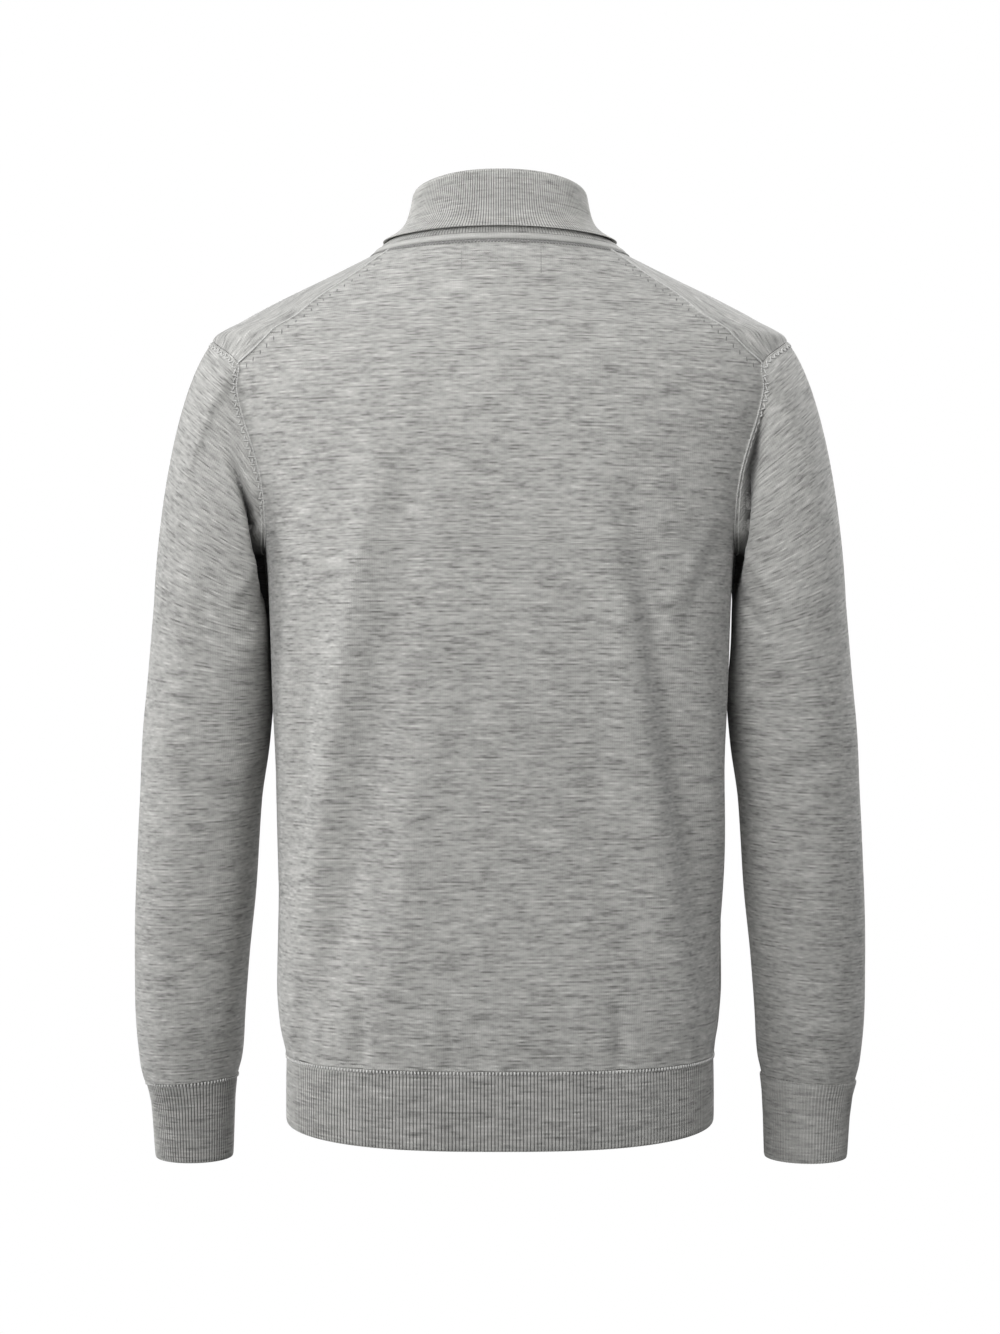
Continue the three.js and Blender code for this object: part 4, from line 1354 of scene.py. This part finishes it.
def make_floor():
    bpy.ops.mesh.primitive_circle_add(vertices=128, radius=6, fill_type="NGON", location=(0, 0, FLOOR_Z * MM))
    floor = bpy.context.active_object
    floor.name = "floor"
    bpy.ops.object.transform_apply(location=True)
    recipe = Recipe("pale_floor")
    place = recipe.node("SeparateXYZ", {0: recipe.node("TexCoord").outputs["Object"]}).outputs
    far = recipe.math("SQRT", recipe.math("ADD", recipe.math("POWER", place[0], 2), recipe.math("POWER", place[1], 2)))
    share = recipe.between(far, 0.7, 2.0, 0.0, 1.0)
    matte = recipe.node("BsdfDiffuse", {"Color": (0.86, 0.86, 0.86, 1)}).outputs[0]
    white = recipe.node("Emission", {"Color": (1, 1, 1, 1), "Strength": 1.0}).outputs[0]
    mixed = recipe.node("MixShader", {0: share, 1: matte, 2: white}).outputs[0]
    recipe.node("OutputMaterial", {"Surface": mixed})
    floor.data.materials.append(recipe.material)
    floor.visible_diffuse = False  # it shows white, and throws no light up into the folds
    floor.visible_glossy = False


def make_world():
    world = bpy.data.worlds.new("studio")
    world.use_nodes = True
    bpy.context.scene.world = world
    tree = world.node_tree
    tree.nodes.clear()
    seen = tree.nodes.new("ShaderNodeBackground")
    seen.inputs["Color"].default_value = (1, 1, 1, 1)
    light = tree.nodes.new("ShaderNodeBackground")
    light.inputs["Color"].default_value = (1, 1, 1, 1)
    light.inputs["Strength"].default_value = 0.25
    path = tree.nodes.new("ShaderNodeLightPath")
    mix = tree.nodes.new("ShaderNodeMixShader")
    output = tree.nodes.new("ShaderNodeOutputWorld")
    tree.links.new(path.outputs["Is Camera Ray"], mix.inputs[0])
    tree.links.new(light.outputs[0], mix.inputs[1])
    tree.links.new(seen.outputs[0], mix.inputs[2])
    tree.links.new(mix.outputs[0], output.inputs["Surface"])


bpy.context.scene.view_settings.view_transform = "Standard"
make_camera()
make_world()
make_floor()
AIM = (0, 0, -0.35)
area_light("near_top_light", (-0.4, 0.85, 0.95), AIM, 0.8, 9.0)
area_light("camera_side_light", (1.15, 2.35, 0.4), AIM, 1.4, 46)
area_light("left_light", (2.4, -0.3, 0.5), AIM, 1.0, 43)
area_light("right_light", (-2.2, -1.1, 0.4), AIM, 1.0, 14)
area_light("front_light", (-1.5, -2.2, 1.2), AIM, 1.6, 60)

jersey = knit_material("melange_jersey", 0.41, furrow=0.72)
rib = knit_material("melange_rib", 0.425, wale=2.4, relief=0.35, furrow=0.93, streaks=0.8)
collar_rib = knit_material("melange_collar_rib", 0.5, wale=2.0, relief=0.3, furrow=0.9, streaks=0.6)
band_knit = knit_material("smooth_band", 0.45, relief=0.2, streaks=0.4)

# The seam and rib-loop yarns are lighter copies of the knit's yarn: painted highlight on the raised stitches
thread = yarn_material("seam_yarn_painted_highlight", 0.56)
rib_thread = yarn_material("rib_yarn_painted_highlight", 0.62)
# A darker copy of the yarn: painted shade in the grooves of the linking zigzag and of the tacks
shaded_thread = yarn_material("linking_yarn_painted_shade", 0.27)
# The darkest copy of the yarn: painted shadow in the fashioned holes beside the shoulder seam
shadow_thread = yarn_material("painted_shadow_yarn", 0.2)
sleeve_sheets = {side: sleeve_sheet(side) for side in ("left", "right")}

pieces = {
    "back": cloth_piece("back_panel", [back_sheet()], JERSEY_WALL, jersey),
    "front": cloth_piece("front_panel", front_sheets(), JERSEY_WALL, jersey, (613, 217)),
    "sleeve_left": cloth_piece("left_sleeve", [sleeve_sheets["left"]], JERSEY_WALL, jersey, (1210, 431)),
    "sleeve_right": cloth_piece("right_sleeve", [sleeve_sheets["right"]], JERSEY_WALL, jersey, (1830, 803)),
    "hem_rib": rib_band("hem_band", hem_outline, 54, HEM_RIBS, rib),
    "cuff_left": rib_band("left_cuff", cuff_outline, 69, CUFF_RIBS, rib),
}
mirror = np.array([-1, 1, 1])
pieces["cuff_right"] = rib_band(
    "right_cuff", lambda angle, down: cuff_outline(angle, down) * mirror, 69, CUFF_RIBS, rib)
rings, shades, knit_rows = collar_rings()
pieces["collar"] = ring_piece("folded_collar", rings, knit_rows, shades, COLLAR_RIBS, collar_rib)
rings, shades, knit_rows = neck_band_rings()
pieces["neck_band"] = ring_piece("smooth_neck_band", rings, knit_rows, shades, 270, band_knit)
for node, piece in pieces.items():
    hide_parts(node)

rib_loop = modelled_stitch(2.8, 1.6, 1.3)
chain_stitch = modelled_stitch(2.4, 1.9, 1.1)
zigzag_stitch = modelled_stitch(5.2, 1.4, 1.2)
linking_stitch = modelled_stitch(4.0, 1.1, 1.0)
fashioning_mark = modelled_stitch(4.2, 1.1, 0.6)
tack = modelled_stitch(2.0, 0.7, 0.7)

hem_loops = sewn_piece("hem_loops", rib_loop, rib_loop_places(hem_outline, HEM_RIBS, 0.02, 0.6), rib_thread)
cuff_loops = rib_loop_places(cuff_outline, CUFF_RIBS, 0.015, 0.6)
left_cuff_loops = sewn_piece("left_cuff_loops", rib_loop, cuff_loops, rib_thread)
right_cuff_loops = sewn_piece("right_cuff_loops", rib_loop, mirrored(cuff_loops), rib_thread)
# The linking stitches are dark: painted shade of the zigzag's grooves
neck_stitches = sewn_piece("neck_stitches", linking_stitch, neck_zigzag_places(2.5), shaded_thread)
zigzags = {
    side: sewn_piece(side + "_armhole_stitches", zigzag_stitch, armhole_zigzag_places(sheet), thread)
    for side, sheet in sleeve_sheets.items()
}
seam_chain = joined(
    body_line_places(seam_at, 0, 1, 1.9, 0.35, 0.75),
    body_line_places(armhole_at, JUNCTION_ROW, UNDERARM_ROW - 0.5, 1.9, 0.95, 0.8),
)
seam_stitches = sewn_piece(
    "back_seam_stitches", chain_stitch, joined(seam_chain, mirrored(seam_chain)), thread)
# The fashioning marks are dark stitches that paint the shadow in the fashioned holes
mark_places = body_line_places(seam_at, 0.06, 0.97, 7, 7, 0.0, 1.6)
marks = sewn_piece(
    "fashioning_marks", fashioning_mark, joined(mark_places, mirrored(mark_places)), shadow_thread)
tacks = sewn_piece(
    "neck_tacks", tack, joined(tack_places(29, -15, -30, 2.3), tack_places(-31, -11, -33, 2.3)), shaded_thread)
